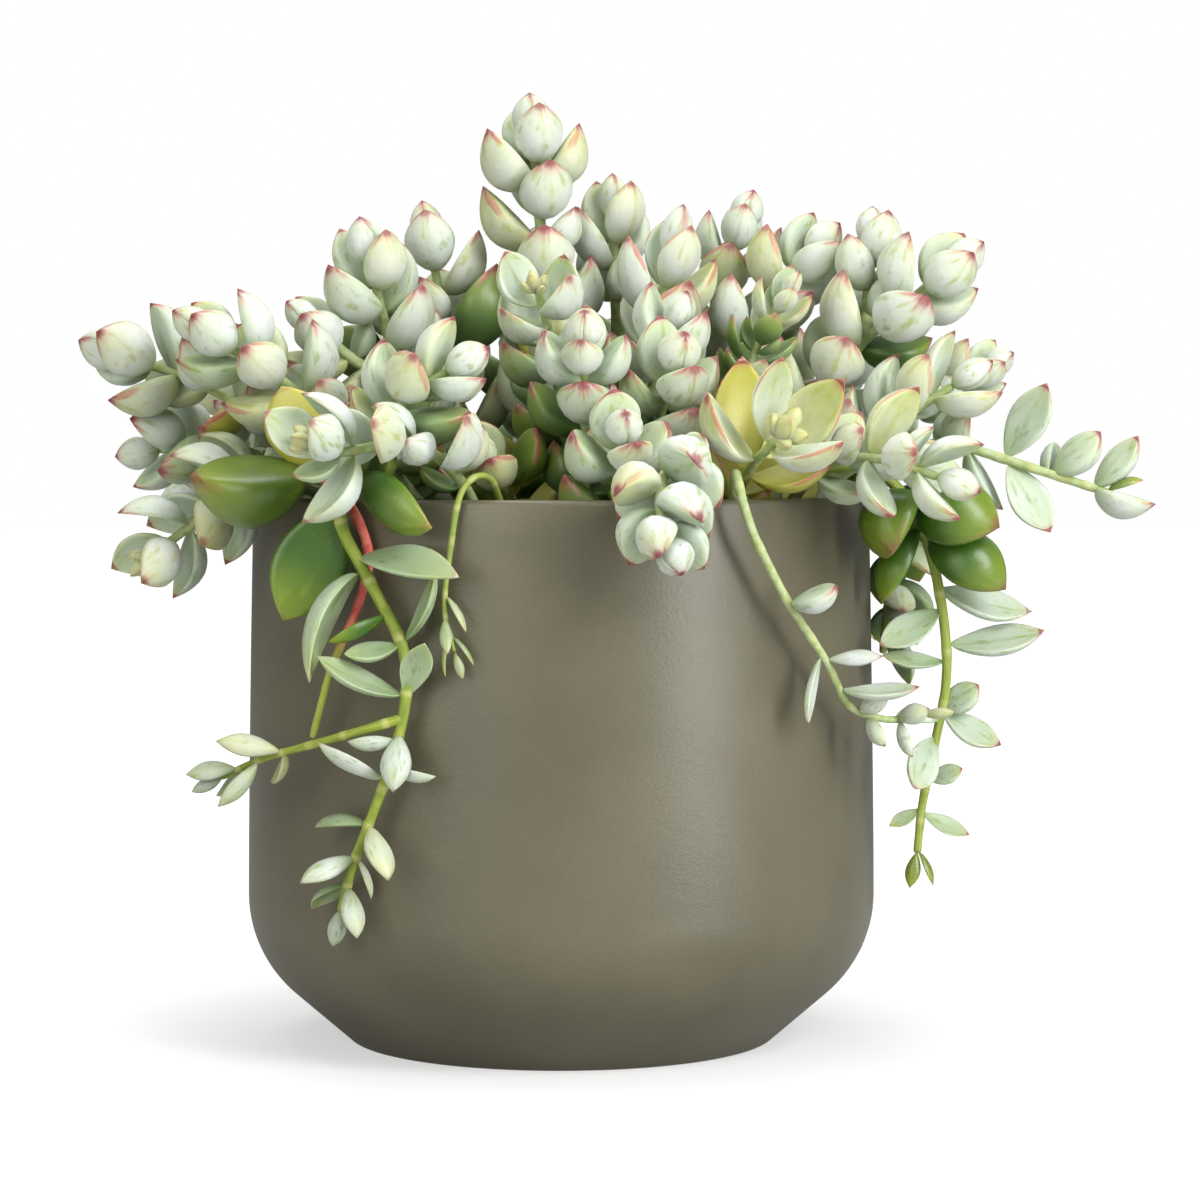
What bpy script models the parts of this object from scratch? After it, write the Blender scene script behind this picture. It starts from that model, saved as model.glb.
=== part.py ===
"""A potted cotyledon: a matt ceramic pot, the soil in it, and the leafy stems that stand in the soil.

Metres, +Z up. The origin is at the centre of the pot's foot, on the surface that it stands on, and
-Y is the side that faces the viewer. Each rooted stem is one object, with its leaves and its
branches grown into it, and stands in a plain hole in the soil.
"""

import math
import random
from dataclasses import dataclass

import bmesh
import bpy
import numpy as np
from mathutils import Vector

MM = 0.001

# The pot, in metres
POT_HEIGHT = 0.156
POT_RADIUS = 0.090
FOOT_RADIUS = 0.0605
FOOT_EDGE = 0.0012
CHAMFER_ANGLE = math.radians(49)
SHOULDER_RADIUS = 0.036
MOUTH_TAPER = 0.0018
TAPER_BEND = 1.4
WALL = 0.0052
RIM_EDGE = 0.0018
RIM_BULGE = 0.3  # how far the edge's middle stays in, as a share of it
FLOOR = 0.009
POT_SIDES = 32

# The soil, in metres
SOIL_EDGE = 0.1405
SOIL_DOME = 0.004
SOIL_MIDDLE = 0.05
FIT_GAP = 0.0003
HOLE_SIDES = 4
HOLE_GAP = 0.0005
ROOT_DEPTH = 0.026

# The stems and leaves, in metres, and shares of a leaf's length
STEM_RADIUS = 0.0021
STEM_TIP_SHARE = 0.6
STEM_SAG = 0.0006
SAMPLE_STEP = 0.002
COLLAR = 0.0015
ROOT_STEP = 0.0003
LEAF_GAP = 0.0005
OWN_OVERLAP = 0.0006
POT_GAP = 0.0008
THIN_DEPTH = 0.25
PLUMP_DEPTH = 0.36
INNER_SHARE = 0.25
LEAF_SIDES = 5
LEAF_RINGS = 3
LARGE_LEAF = 0.0235
LARGE_LEAF_RINGS = 4
SMALL_LEAF = 0.0192
SMALL_LEAF_SIDES = 4
OPEN_GAP = 1.1
SHARP_ANGLE = math.radians(50)
WELD = 0.00002
SEAM_WELD = 0.00005

MATERIALS = {
    # colour, roughness, metallic
    "ceramic": ((0.155, 0.145, 0.105), 0.55, 0.0),
    "soil": ((0.030, 0.022, 0.015), 0.95, 0.0),
    "foliage": ((0.56, 0.66, 0.52), 0.55, 0.0),
}


@dataclass(frozen=True)
class Growth:
    """How one leafy stem grows, in millimetres and degrees, as a plant is measured."""

    foot: tuple  # x and y where it comes out of the soil, or None for a branch
    through: list  # the points that it grows through after that
    leaf: float  # the length of its largest leaves
    pairs: int = 3  # pairs of leaves below the bud at its tip
    gap: float = 1.0  # the distance from pair to pair against a compact head's
    turn: float = 0  # how far the first pair is turned about the stem
    slim: float = 0.74  # a leaf's width as a share of its length
    spread: float = 66  # how wide the oldest pairs open
    lift: float = 0.25  # how strongly the leaves turn up to the light
    curl: float = 0.08  # how far a leaf's tip bends in, as a share of its length
    thick: float = 1.0  # the stem's thickness against the usual one
    solos: tuple = ()  # single leaves, each by what solo_leaf takes after its stem
    branches: tuple = ()  # distance from the tip of each branch, and its growth


# Every stem, by the side of the plant that it fills. The viewer sees the left, crown, front and
# right groups, and the back group closes the plant behind them.
LEFT = {
    "left_arm": Growth((-52, -12), [(-70, -17, 166), (-97, -23, 186), (-121, -27, 195)],
                       leaf=23, pairs=4, gap=1.0, turn=30, lift=0.15),
    "left_crest": Growth((-44, -30), [(-58, -42, 172), (-77, -50, 189), (-94, -55, 200)],
                         leaf=21, pairs=4, gap=0.95, turn=10),
    "left_tuft": Growth((-36, -8), [(-43, -14, 176), (-49, -21, 203), (-53, -26, 221)],
                        leaf=23, pairs=4, turn=45,
                        branches=((36, Growth(None, [(-58, -22, 194), (-68, -27, 203)],
                                              leaf=21, pairs=2, turn=20)),)),
    "left_peak": Growth((-24, 12), [(-30, 13, 185), (-38, 11, 228)],
                        leaf=22, turn=0, solos=((32, (0.45, -0.3, 1.0), 29, 0.75),)),
    "left_low": Growth((-60, -27), [(-75, -34, 162), (-87, -40, 160), (-99, -46, 150),
                                    (-112, -51, 140)],
                       leaf=21, pairs=4, gap=1.0, turn=20, lift=0.0, slim=0.70),
    "left_mid": Growth((-65, -4), [(-82, -8, 165), (-100, -12, 171), (-114, -15, 169)],
                       leaf=22, turn=70, lift=0.1),
    "left_old": Growth((-52, -46), [(-60, -59, 158), (-66, -68, 164)],
                       leaf=24, pairs=0,
                       solos=((1, (-1.0, -0.30, 0.02), 32, 0.86, (0.1, -0.3, 1.0)),
                              (6, (-0.75, -0.1, 0.55), 21, 0.62),
                              (1, (-0.35, -0.15, 0.9), 23, 0.80),
                              (0, (0.45, -0.25, 0.85), 22, 0.66),
                              (9, (-0.6, 0.3, 0.7), 21, 0.62)),
                       branches=((5, Growth(None, [(-57, -73, 157), (-50, -77, 142),
                                                   (-53, -78, 128), (-61, -77, 110),
                                                   (-66, -73, 92)],
                                            leaf=10, pairs=0, thick=0.75)),)),
    "left_trail": Growth((-40, -58), [(-47, -70, 164), (-55, -77, 161), (-58, -79, 150),
                                      (-49, -83, 132), (-41, -86, 118), (-40, -87, 103),
                                      (-46, -85, 80), (-55, -81, 58), (-58, -79, 46)],
                         leaf=18, pairs=3, gap=1.35, turn=60, slim=0.50, spread=66, lift=0.0,
                         curl=-0.12, thick=1.05,
                         solos=((118, (-0.42, -0.10, -0.88), 33, 0.60, (0.2, -0.9, 0.2)),
                                (127, (0.70, -0.62, -0.35), 32, 0.52, (0.1, 0.8, 0.5), -0.12),
                                (131, (0.15, -0.85, -0.05), 19, 0.72),
                                (102, (0.66, -0.50, 0.56), 35, 0.46, (-0.35, -0.35, 0.87), -0.62),
                                (98, (-0.58, -0.34, -0.80), 32, 0.50, (0.75, -0.25, -0.50), 0.20),
                                (76, (0.44, -0.30, 0.85), 22, 0.40, (-0.8, -0.3, 0.4), 0.05),
                                (61, (0.24, -0.30, 0.93), 20, 0.44, (0.2, -0.9, 0.2), 0.05),
                                (85, (-0.88, -0.34, -0.36), 17, 0.42, (0.1, 0.5, 0.8)),
                                (76, (-0.93, -0.35, 0.05), 15, 0.54, (-0.2, -0.6, 0.8)),
                                (62, (-0.76, -0.32, 0.60), 25, 0.44, (0.4, -0.4, 0.8), -0.06),
                                (50, (-0.92, -0.34, 0.20), 13, 0.52, (0.2, 0.6, 0.8)),
                                (52, (-0.08, -0.42, -0.92), 16, 0.52, (0.0, 0.9, -0.4)),
                                (39, (-0.78, -0.28, 0.56), 20, 0.44, (0.5, 0.4, 0.8), -0.10),
                                (42, (0.86, -0.40, 0.10), 13, 0.50, (-0.2, 0.5, 0.9))),
                         branches=((56, Growth(None, [(-56, -87, 94), (-79, -75, 87),
                                                      (-91, -69, 81)],
                                               leaf=17, pairs=3, gap=1.2, turn=20, slim=0.42,
                                               spread=50, lift=0.1, thick=0.7)),)),
    "left_sprig": Growth((-14, -66), [(-18, -79, 162), (-25, -86, 160), (-28, -87, 146),
                                      (-30, -88, 128), (-27, -89, 116)],
                         leaf=12, gap=1.25, turn=20, slim=0.34, spread=50, lift=0.0, thick=0.6),
}

CROWN = {
    "spike": Growth((2, 6), [(-1, 5, 185), (-5, 2, 222), (-8, -2, 258)],
                    leaf=23, pairs=7, gap=0.9, slim=0.80, spread=48, thick=1.2),
    "front_rosette": Growth((4, -16), [(0, -22, 182), (-3, -33, 202), (-6, -44, 213)],
                            leaf=20, gap=0.95, pairs=4, turn=45, slim=0.80),
    "crown_right": Growth((18, -6), [(23, -7, 190), (31, -9, 223)],
                          leaf=26, turn=20, slim=0.62, spread=56),
    "crown_shelf": Growth((20, -24), [(23, -33, 178), (31, -43, 202)], leaf=22, turn=60),
    "crown_back": Growth((14, 20), [(16, 17, 190), (15, 11, 236)],
                         leaf=23, turn=30, slim=0.68, spread=50),
    "right_peak": Growth((28, 26), [(40, 22, 196), (52, 14, 233)],
                         leaf=20, turn=0, slim=0.70, spread=54),
    "right_tuft": Growth((34, 6), [(46, 5, 190), (61, 2, 214), (71, 0, 225)],
                         leaf=22, turn=40),
    "bud_sprig": Growth((38, -14), [(47, -24, 180), (57, -33, 202), (62, -39, 211)],
                        leaf=15, turn=10, slim=0.56, spread=50, thick=0.7),
}

FRONT = {
    "front_left": Growth((-34, -42), [(-45, -60, 164), (-46, -70, 175), (-39, -77, 184),
                                      (-29, -81, 190)],
                         leaf=21, gap=0.95, pairs=4, turn=30, slim=0.70),
    "white_rosette": Growth((-20, -60), [(-30, -77, 166), (-44, -88, 171), (-57, -95, 168),
                                         (-63, -101, 171)],
                            leaf=23, gap=0.9, pairs=3, turn=50, slim=0.68),
    "front_bud": Growth((7, -45), [(7, -55, 170), (7, -64, 186), (7, -72, 197)],
                        leaf=19, gap=0.95, pairs=4, slim=0.78),
    "front_crest": Growth((23, -40), [(27, -50, 176), (31, -62, 191)],
                          leaf=23, pairs=3, turn=30, slim=0.78),
    "front_skirt": Growth((15, -60), [(16, -74, 163), (17, -85, 172)],
                          leaf=20, turn=20, slim=0.82),
    "front_nook": Growth((-12, -38), [(-14, -50, 158), (-19, -62, 166)], leaf=20, turn=15),
    "front_drop": Growth((34, -62), [(33, -78, 164), (29, -93, 165), (26, -105, 156),
                                     (29, -111, 146)],
                         leaf=17, gap=0.9, pairs=5, turn=30, slim=0.86, lift=0.1),
    "sword_rosette": Growth((46, -42), [(50, -57, 161), (55, -71, 169), (59, -80, 173)],
                            leaf=32, turn=35, slim=0.54, gap=0.75, lift=0.4),
}

RIGHT = {
    "right_front": Growth((60, -40), [(71, -55, 164), (86, -70, 167), (101, -79, 162)],
                          leaf=22, gap=0.95, pairs=4, turn=20, slim=0.64),
    "right_crest": Growth((52, -6), [(65, -11, 172), (80, -16, 194), (96, -20, 210),
                                     (108, -23, 219)],
                          leaf=23, gap=0.95, pairs=5, turn=15,
                          branches=((29, Growth(None, [(87, -13, 212), (88, -9, 227)],
                                                leaf=21, pairs=2, turn=30)),)),
    "right_mid": Growth((64, -24), [(80, -30, 168), (97, -34, 179), (109, -37, 187)],
                        leaf=23, pairs=3, turn=50, slim=0.62),
    "right_arm": Growth((66, -10), [(84, -12, 165), (104, -16, 171), (122, -20, 168),
                                    (139, -23, 162), (154, -26, 157)],
                        leaf=18, pairs=0, gap=1.2,
                        solos=((31, (0.45, -0.15, 0.90), 23, 0.56, (-0.6, -0.8, 0.1)),
                               (30, (0.70, -0.30, -0.65), 24, 0.54, (0.2, -0.9, 0.4)),
                               (17, (0.70, -0.20, 0.70), 17, 0.72, (-0.5, -0.6, 0.6)),
                               (18, (0.35, 0.80, 0.45), 15, 0.60),
                               (5, (0.60, -0.15, 0.78), 18, 0.62, (-0.6, -0.5, 0.5)),
                               (5, (0.92, -0.25, -0.34), 17, 0.72, (0.3, 0.0, 0.9), 0.10),
                               (1, (0.95, -0.20, 0.10), 10, 0.56),
                               (46, (0.20, -0.85, 0.45), 19, 0.66),
                               (46, (0.10, 0.90, 0.40), 18, 0.66),
                               (42, (0.55, 0.20, -0.80), 20, 0.62),
                               (58, (0.40, -0.55, -0.70), 20, 0.66),
                               (58, (0.10, 0.30, 0.95), 20, 0.66),
                               (71, (0.10, -0.90, 0.40), 19, 0.66))),
    "right_sprig": Growth((64, 8), [(86, 3, 170), (108, -3, 184), (121, -7, 192)],
                          leaf=15, turn=20, thick=0.7),
    "right_trail": Growth((46, -26), [(66, -32, 161), (84, -36, 165), (96, -37, 156),
                                      (103, -35, 141), (107, -33, 122), (108, -32, 105),
                                      (105, -31, 88), (101, -30, 68), (100, -30, 56)],
                          leaf=18, pairs=0, gap=1.6,
                          solos=((103, (-0.15, -0.75, -0.60), 23, 0.90),
                                 (99, (0.80, -0.45, -0.20), 25, 0.86),
                                 (90, (0.90, -0.22, -0.30), 26, 0.78),
                                 (94, (-0.62, -0.20, -0.76), 24, 0.62),
                                 (76, (0.94, 0.08, -0.20), 26, 0.50, (0.0, -0.6, 0.8)),
                                 (70, (-0.86, -0.30, -0.45), 20, 0.52, (0.3, -0.6, 0.7)),
                                 (60, (0.92, -0.20, 0.34), 26, 0.50, (-0.3, -0.5, 0.8)),
                                 (55, (-0.95, -0.25, 0.15), 18, 0.42, (0.2, -0.5, 0.8)),
                                 (41, (0.86, -0.25, -0.45), 18, 0.56, (0.3, -0.7, 0.6)),
                                 (41, (0.75, -0.30, 0.60), 12, 0.76, (-0.3, -0.8, 0.5)),
                                 (38, (-0.90, -0.35, 0.05), 13, 0.64),
                                 (34, (-0.30, -0.45, -0.85), 20, 0.56, (0.5, -0.8, 0.2)),
                                 (21, (0.85, -0.35, 0.35), 10, 0.62, (-0.2, -0.8, 0.5)),
                                 (13, (-0.82, -0.25, -0.40), 10, 0.46, (0.2, -0.7, 0.7)),
                                 (12, (0.90, -0.20, -0.38), 14, 0.46, (0.3, -0.7, 0.7)),
                                 (1, (-0.20, -0.10, -1.00), 10, 0.44),
                                 (1, (0.35, -0.15, -0.95), 10, 0.46))),
    "front_trail": Growth((47, -60), [(47, -73, 163), (48, -82, 159), (51, -83, 148),
                                      (62, -76, 127), (73, -66, 111), (79, -59, 99),
                                      (92, -51, 95), (100, -46, 97)],
                          leaf=16, pairs=0, gap=1.6, thick=0.8,
                          solos=((64, (0.85, -0.45, 0.40), 14, 0.74, (-0.3, -0.3, 0.9)),
                                 (45, (-0.15, -0.35, -0.95), 19, 0.38, (0.9, -0.2, 0.0)),
                                 (43, (0.95, -0.30, 0.05), 15, 0.34),
                                 (33, (0.95, -0.30, 0.10), 21, 0.44, (0.0, -0.3, 0.9)),
                                 (22, (0.60, -0.50, 0.60), 11, 0.60),
                                 (19, (0.45, -0.50, -0.70), 10, 0.62),
                                 (9, (0.80, -0.50, 0.35), 10, 0.60),
                                 (8, (0.30, -0.45, -0.80), 11, 0.56),
                                 (1, (0.95, -0.10, 0.10), 9, 0.50))),
    "right_shade": Growth((62, 22), [(79, 25, 163), (91, 23, 160), (97, 16, 146),
                                     (95, 9, 126), (93, 5, 110)],
                          leaf=19, gap=1.1, turn=30, slim=0.64, lift=0.0),
}

BACK = {
    "back_left_arm": Growth((-52, 18), [(-68, 24, 170), (-89, 31, 186), (-104, 36, 192)],
                            leaf=22, turn=20),
    "back_left_tuft": Growth((-35, 31), [(-43, 42, 180), (-51, 54, 201)], leaf=21, turn=45),
    "back_crown": Growth((-8, 30), [(-10, 38, 190), (-12, 46, 216)], leaf=21, turn=10),
    "back_tuft": Growth((12, 40), [(15, 52, 184), (18, 65, 204)], leaf=21, turn=30),
    "back_right_tuft": Growth((38, 38), [(47, 48, 180), (56, 58, 201)], leaf=21, turn=60),
    "back_right_arm": Growth((50, 20), [(67, 27, 175), (86, 33, 193), (98, 37, 201)],
                             leaf=21, turn=10),
    "back_left_low": Growth((-58, 40), [(-72, 50, 164), (-88, 60, 166), (-100, 68, 159)],
                            leaf=20, turn=30, lift=0.1),
    "back_left_fall": Growth((-38, 54), [(-46, 69, 166), (-56, 84, 170), (-62, 94, 167)],
                             leaf=20, turn=50),
    "back_fall": Growth((-10, 62), [(-12, 78, 168), (-14, 94, 172), (-14, 104, 169)],
                        leaf=20, turn=20),
    "back_right_fall": Growth((20, 62), [(23, 78, 166), (27, 94, 168), (31, 104, 161)],
                              leaf=20, turn=70),
    "back_right_low": Growth((45, 54), [(55, 67, 166), (66, 79, 170), (75, 88, 166)],
                             leaf=20, turn=35),
    "back_trail": Growth((-26, 60), [(-30, 74, 163), (-35, 84, 161), (-38, 88, 149),
                                     (-35, 88, 122), (-27, 91, 92), (-25, 91, 70)],
                         leaf=19, pairs=4, gap=1.4, turn=30, slim=0.48, lift=0.0),
    "back_right_trail": Growth((62, 38), [(73, 49, 163), (82, 57, 159), (85, 59, 145),
                                          (81, 60, 118), (79, 62, 98)],
                               leaf=19, gap=1.35, turn=30, slim=0.48, lift=0.0),
    "back_left_side": Growth((-66, 14), [(-83, 20, 163), (-97, 26, 162), (-108, 30, 153)],
                             leaf=19, turn=10, lift=0.1),
}

STEMS = {**CROWN, **FRONT, **LEFT, **RIGHT, **BACK}


# Growth


def run_along(points):
    """The distance along a line at each of its points."""
    return np.concatenate([[0], np.cumsum(np.linalg.norm(np.diff(points, axis=0), axis=1))])


def smooth_line(points, before, step):
    """Points about one step apart along a smooth curve through the given points."""
    before = 2 * points[0] - points[1] if before is None else before
    knots = np.array([before, *points, 2 * points[-1] - points[-2]])
    t = np.linspace(0, 1, 25)[:-1, None]
    spans = []
    for a, b, c, d in zip(knots, knots[1:], knots[2:], knots[3:]):
        spans.append(0.5 * (2 * b + (c - a) * t + (2 * a - 5 * b + 4 * c - d) * t**2
                            + (3 * b - a - 3 * c + d) * t**3))
    fine = np.vstack([*spans, knots[-2]])
    run = run_along(fine)
    even = np.linspace(0, run[-1], max(3, round(run[-1] / step) + 1))
    return np.array([np.interp(even, run, axis) for axis in fine.T]).T


def without_sag(line, sag):
    """The fewest of the line's points that keep every other within the sag of the straight runs."""
    start, end = line[0], line[-1]
    along = unit(end - start)
    off = line - start
    off = np.linalg.norm(off - np.outer(off @ along, along), axis=1)
    worst = int(np.argmax(off))
    if off[worst] < sag:
        return np.array([start, end])
    return np.vstack([without_sag(line[:worst + 1], sag)[:-1], without_sag(line[worst:], sag)])


def unit(vector):
    return vector / np.linalg.norm(vector)


def soil_height(radius):
    """Height of the soil's surface at a distance from the pot's axis."""
    return SOIL_EDGE + SOIL_DOME * (1 - np.minimum(radius / (POT_RADIUS - WALL), 1) ** 2)


def bulge(t, root, end, tip):
    """A curve along a leaf, from 0 over 1 to 0. A higher root or tip narrows that end."""
    def height(share):
        return share**root * (1 - share**end) ** tip
    return height(np.clip(t, 0, 1)) / height(np.linspace(0, 1, 101)).max()


def width_share(t):
    """A leaf's width along its length, from its root at 0 to its tip at 1."""
    return bulge(t, 0.7, 2.2, 0.75)


def depth_share(t):
    """A leaf's depth along its length."""
    return bulge(t, 0.5, 2.0, 0.75)


class Leaf:
    """One leaf: where it grows, which way it points and faces, and its size."""

    ROWS = np.array([0.12, 0.25, 0.4, 0.55, 0.7, 0.83, 0.94])
    ANGLES = np.linspace(0, 2 * math.pi, 9)[:-1]

    def __init__(self, root, along, inner, length, slim, curl):
        self.along = unit(along)
        self.root = root + self.along * ROOT_STEP
        self.inner = unit(inner - self.along * (inner @ self.along))
        self.across = np.cross(self.inner, self.along)
        self.length = length
        self.width = length * slim
        self.depth = self.width * (THIN_DEPTH + PLUMP_DEPTH * slim)
        self.curl = curl
        rows, angles = np.meshgrid(self.ROWS, self.ANGLES, indexing="ij")
        skin = self.surface(rows.ravel(), np.cos(angles.ravel()), np.sin(angles.ravel()))
        self.skin = np.vstack([skin, self.surface(np.ones(1), np.zeros(1), np.zeros(1))])
        self.skin_rows = np.append(rows.ravel(), 1.0)
        self.centre = self.root + self.along * length / 2

    def surface(self, t, side, rise):
        """Points at shares t of the length. side and rise are the place round the section."""
        side = side * self.width / 2 * width_share(t)
        rise = rise * self.depth * depth_share(t)
        rise = np.where(rise > 0, rise * INNER_SHARE, rise) + self.curl * self.length * t**2
        return (self.root + np.outer(t * self.length, self.along)
                + np.outer(side, self.across) + np.outer(rise, self.inner))

    def holds(self, points, margin):
        """Which of the points lie inside the leaf grown by a margin."""
        local = points - self.root
        t = local @ self.along / self.length
        side = local @ self.across
        rise = local @ self.inner - self.curl * self.length * t**2
        depth = self.depth * depth_share(t) * np.where(rise > 0, INNER_SHARE, 1)
        wide = self.width / 2 * width_share(t) + margin
        deep = depth + margin
        ends = margin / self.length
        with np.errstate(divide="ignore", invalid="ignore"):
            inside = (side / wide) ** 2 + (rise / deep) ** 2 < 1
        return inside & (t > -ends) & (t < 1 + ends)


class Stem:
    """One stem or branch: its bends, its thickness, and the frame along it."""

    def __init__(self, name, growth, bends):
        self.name = name
        self.growth = growth
        self.bends = bends
        self.radius = STEM_RADIUS * growth.thick
        self.bend_run = run_along(bends)
        self.length = self.bend_run[-1]
        self.run = np.linspace(0, self.length, max(3, round(self.length / SAMPLE_STEP)))
        self.line = self.point_at(self.run)
        self.tangents = np.gradient(self.line, axis=0)
        self.tangents /= np.linalg.norm(self.tangents, axis=1)[:, None]
        side = np.array([1.0, 0.0, 0.0])
        self.sides = []
        for tangent in self.tangents:
            side = unit(side - tangent * (side @ tangent))
            self.sides.append(side)

    def point_at(self, run):
        return np.array([np.interp(run, self.bend_run, axis) for axis in self.bends.T]).T

    def from_tip(self, distance):
        """The point, direction and sideways vector at a distance back from the tip."""
        run = max(self.length - distance, 0)
        i = int(np.argmin(np.abs(self.run - run)))
        return self.point_at(run), self.tangents[i], self.sides[i]

    def radius_at(self, run):
        return self.radius * (1 + (STEM_TIP_SHARE - 1) * run / self.length)


def plan_stems():
    """Every stem with its branches after it."""
    stems = []
    for name, growth in STEMS.items():
        x, y = (value * MM for value in growth.foot)
        top = soil_height(math.hypot(x, y))
        through = [np.array(point) * MM for point in growth.through]
        foot = np.array([x, y, top + COLLAR])
        line = smooth_line([foot, *through], foot - (0, 0, 2 * ROOT_DEPTH), SAMPLE_STEP)
        bends = np.vstack([[x, y, top - ROOT_DEPTH], without_sag(line, STEM_SAG)])
        stem = Stem(name, growth, bends)
        stems.append(stem)
        for distance, twig in growth.branches:
            fork = stem.from_tip(distance * MM)[0]
            line = smooth_line([fork, *(np.array(p) * MM for p in twig.through)], None, SAMPLE_STEP)
            stems.append(Stem(name, twig, without_sag(line, STEM_SAG)))
    return stems


def pot_outer_radius(z):
    """The pot's outer radius at a height, for keeping leaves off it."""
    bend = POT_RADIUS - SHOULDER_RADIUS * (1 - math.cos(CHAMFER_ANGLE))
    low = shoulder_height() - SHOULDER_RADIUS * math.sin(CHAMFER_ANGLE)
    below = bend - (low - z) * math.tan(CHAMFER_ANGLE)
    return np.where(z > low, POT_RADIUS, below)


def in_pot(points):
    """Which of the points are in the pot's wall, in the soil or below the ground."""
    radius = np.hypot(points[:, 0], points[:, 1])
    z = points[:, 2]
    inner = POT_RADIUS - MOUTH_TAPER - WALL - POT_GAP
    wall = (z < POT_HEIGHT + POT_GAP) & (radius > inner)
    wall &= radius < pot_outer_radius(z) + POT_GAP
    return wall | ((radius <= inner) & (z < soil_height(radius) + POT_GAP)) | (z < POT_GAP)


ROOTED_SHARE = 0.35  # of a leaf, where its own stem and its neighbours may touch it
REACH = 1.3  # leaf lengths from the root, past which nothing of a stem can meet the leaf

# How a leaf that would meet another is moved: its opening, its turn and its size
MOVES = [(0, 0, 1), (-9, 0, 1), (9, 0, 1), (0, 14, 1), (0, -14, 1), (-16, 0, 0.95),
         (16, 10, 0.95), (10, -20, 0.92), (-10, 22, 0.9), (0, 0, 0.8), (-24, 0, 0.85),
         (22, 0, 0.85), (-12, -30, 0.82), (12, 32, 0.82), (0, 0, 0.66), (-20, 18, 0.68),
         (20, -18, 0.68), (-34, 0, 0.7), (30, 24, 0.64), (-28, -36, 0.62)]


class Crown:
    """All the leaves, each placed clear of the pot, the stems and the leaves before it."""

    def __init__(self, stems):
        self.leaves = []
        self.owners = []
        self.stem_points = np.vstack([stem.line for stem in stems])
        self.stem_radii = np.concatenate([stem.radius_at(stem.run) for stem in stems])
        self.stem_owners = np.concatenate([[stem.name] * len(stem.line) for stem in stems])

    def clears_stems(self, leaf, owner):
        """Its own stem only counts past the leaf's lowest third, where it is rooted."""
        offsets = self.stem_points - leaf.root
        along = offsets @ leaf.along / leaf.length
        near = np.linalg.norm(offsets, axis=1) < REACH * leaf.length
        near &= (self.stem_owners != owner) | (along > ROOTED_SHARE)
        return not leaf.holds(self.stem_points[near], self.stem_radii[near] + LEAF_GAP).any()

    def clears_leaves(self, leaf, owner):
        for other, other_owner in zip(self.leaves, self.owners):
            reach = (leaf.length + other.length) / 2 + LEAF_GAP
            if np.linalg.norm(other.centre - leaf.centre) > reach:
                continue
            own = other_owner == owner
            margin = -OWN_OVERLAP if own else LEAF_GAP
            start = ROOTED_SHARE if own else 0
            if (other.holds(leaf.skin[leaf.skin_rows > start], margin).any()
                    or leaf.holds(other.skin[other.skin_rows > start], margin).any()):
                return False
        return True

    def place(self, owner, make):
        """Keeps the first way of making the leaf that is free."""
        for open_by, turn_by, scale in MOVES:
            leaf = make(open_by, turn_by, scale)
            if (not in_pot(leaf.skin).any() and self.clears_stems(leaf, owner)
                    and self.clears_leaves(leaf, owner)):
                self.leaves.append(leaf)
                self.owners.append(owner)
                return


def turned(vector, axis, degrees):
    """The vector turned about a unit axis."""
    angle = math.radians(degrees)
    return (vector * math.cos(angle) + np.cross(axis, vector) * math.sin(angle)
            + axis * (axis @ vector) * (1 - math.cos(angle)))


# How a pair's place, opening and size follow from its level
BUD_BACK, PAIR_STEP, STEP_GROWTH = 0.05, 0.24, 0.03  # in leaf lengths
BUD_CLOSED, OPENING_RATE = 0.8, 0.65
BUD_SMALLER, SIZE_RATE = 0.4, 0.8
OPENING_VARIES, TURN_VARIES = 5, 8  # in degrees, both ways
LENGTH_VARIES, SLIM_VARIES = 0.06, 0.07
SOLO_LIFT = 0.4


def pair_distance(growth, level):
    """How far back from the stem's tip a pair sits. The bud is level 0, the youngest pair 1."""
    steps = BUD_BACK + PAIR_STEP * level + STEP_GROWTH * level**2
    return growth.leaf * MM * growth.gap * steps


def pair_leaf(stem, level, half_turn, draw):
    """The rule for one leaf of a pair, or for the bud, which is level 0."""
    growth = stem.growth
    point, tangent, side = stem.from_tip(pair_distance(growth, level))
    opening = growth.spread * (1 - BUD_CLOSED * math.exp(-OPENING_RATE * level))
    opening += draw.uniform(-OPENING_VARIES, OPENING_VARIES)
    turn = growth.turn + 90 * level + half_turn + draw.uniform(-TURN_VARIES, TURN_VARIES)
    size = 1 - BUD_SMALLER * math.exp(-SIZE_RATE * level)
    length = growth.leaf * MM * size * draw.uniform(1 - LENGTH_VARIES, 1 + LENGTH_VARIES)
    slim = growth.slim * draw.uniform(1 - SLIM_VARIES, 1 + SLIM_VARIES)
    if level == 0:
        opening = 0
    up = np.array([0.0, 0.0, growth.lift])

    def make(open_by, turn_by, scale):
        angle = math.radians(opening + open_by * min(level, 1))
        out = turned(side, tangent, turn + turn_by)
        along = tangent * math.cos(angle) + out * math.sin(angle) + up * math.sin(angle)
        inner = tangent * math.sin(angle) - out * math.cos(angle) + up
        return Leaf(point, along, inner, length * scale, slim, growth.curl * min(level, 1))

    return make


def solo_leaf(stem, distance, direction, length, slim, facing=None, curl=-0.06):
    """The rule for a single leaf: how far back from the tip it grows, which way and how long."""
    point, tangent, _ = stem.from_tip(distance * MM)
    aim = unit(np.array(direction, float))
    hinge = unit(np.cross(aim, tangent))
    inner = tangent + (0, 0, SOLO_LIFT) if facing is None else np.array(facing, float)

    def make(open_by, turn_by, scale):
        along = turned(turned(aim, hinge, open_by), tangent, turn_by / 2)
        return Leaf(point, along, inner, length * MM * scale, slim, curl)

    return make


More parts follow.
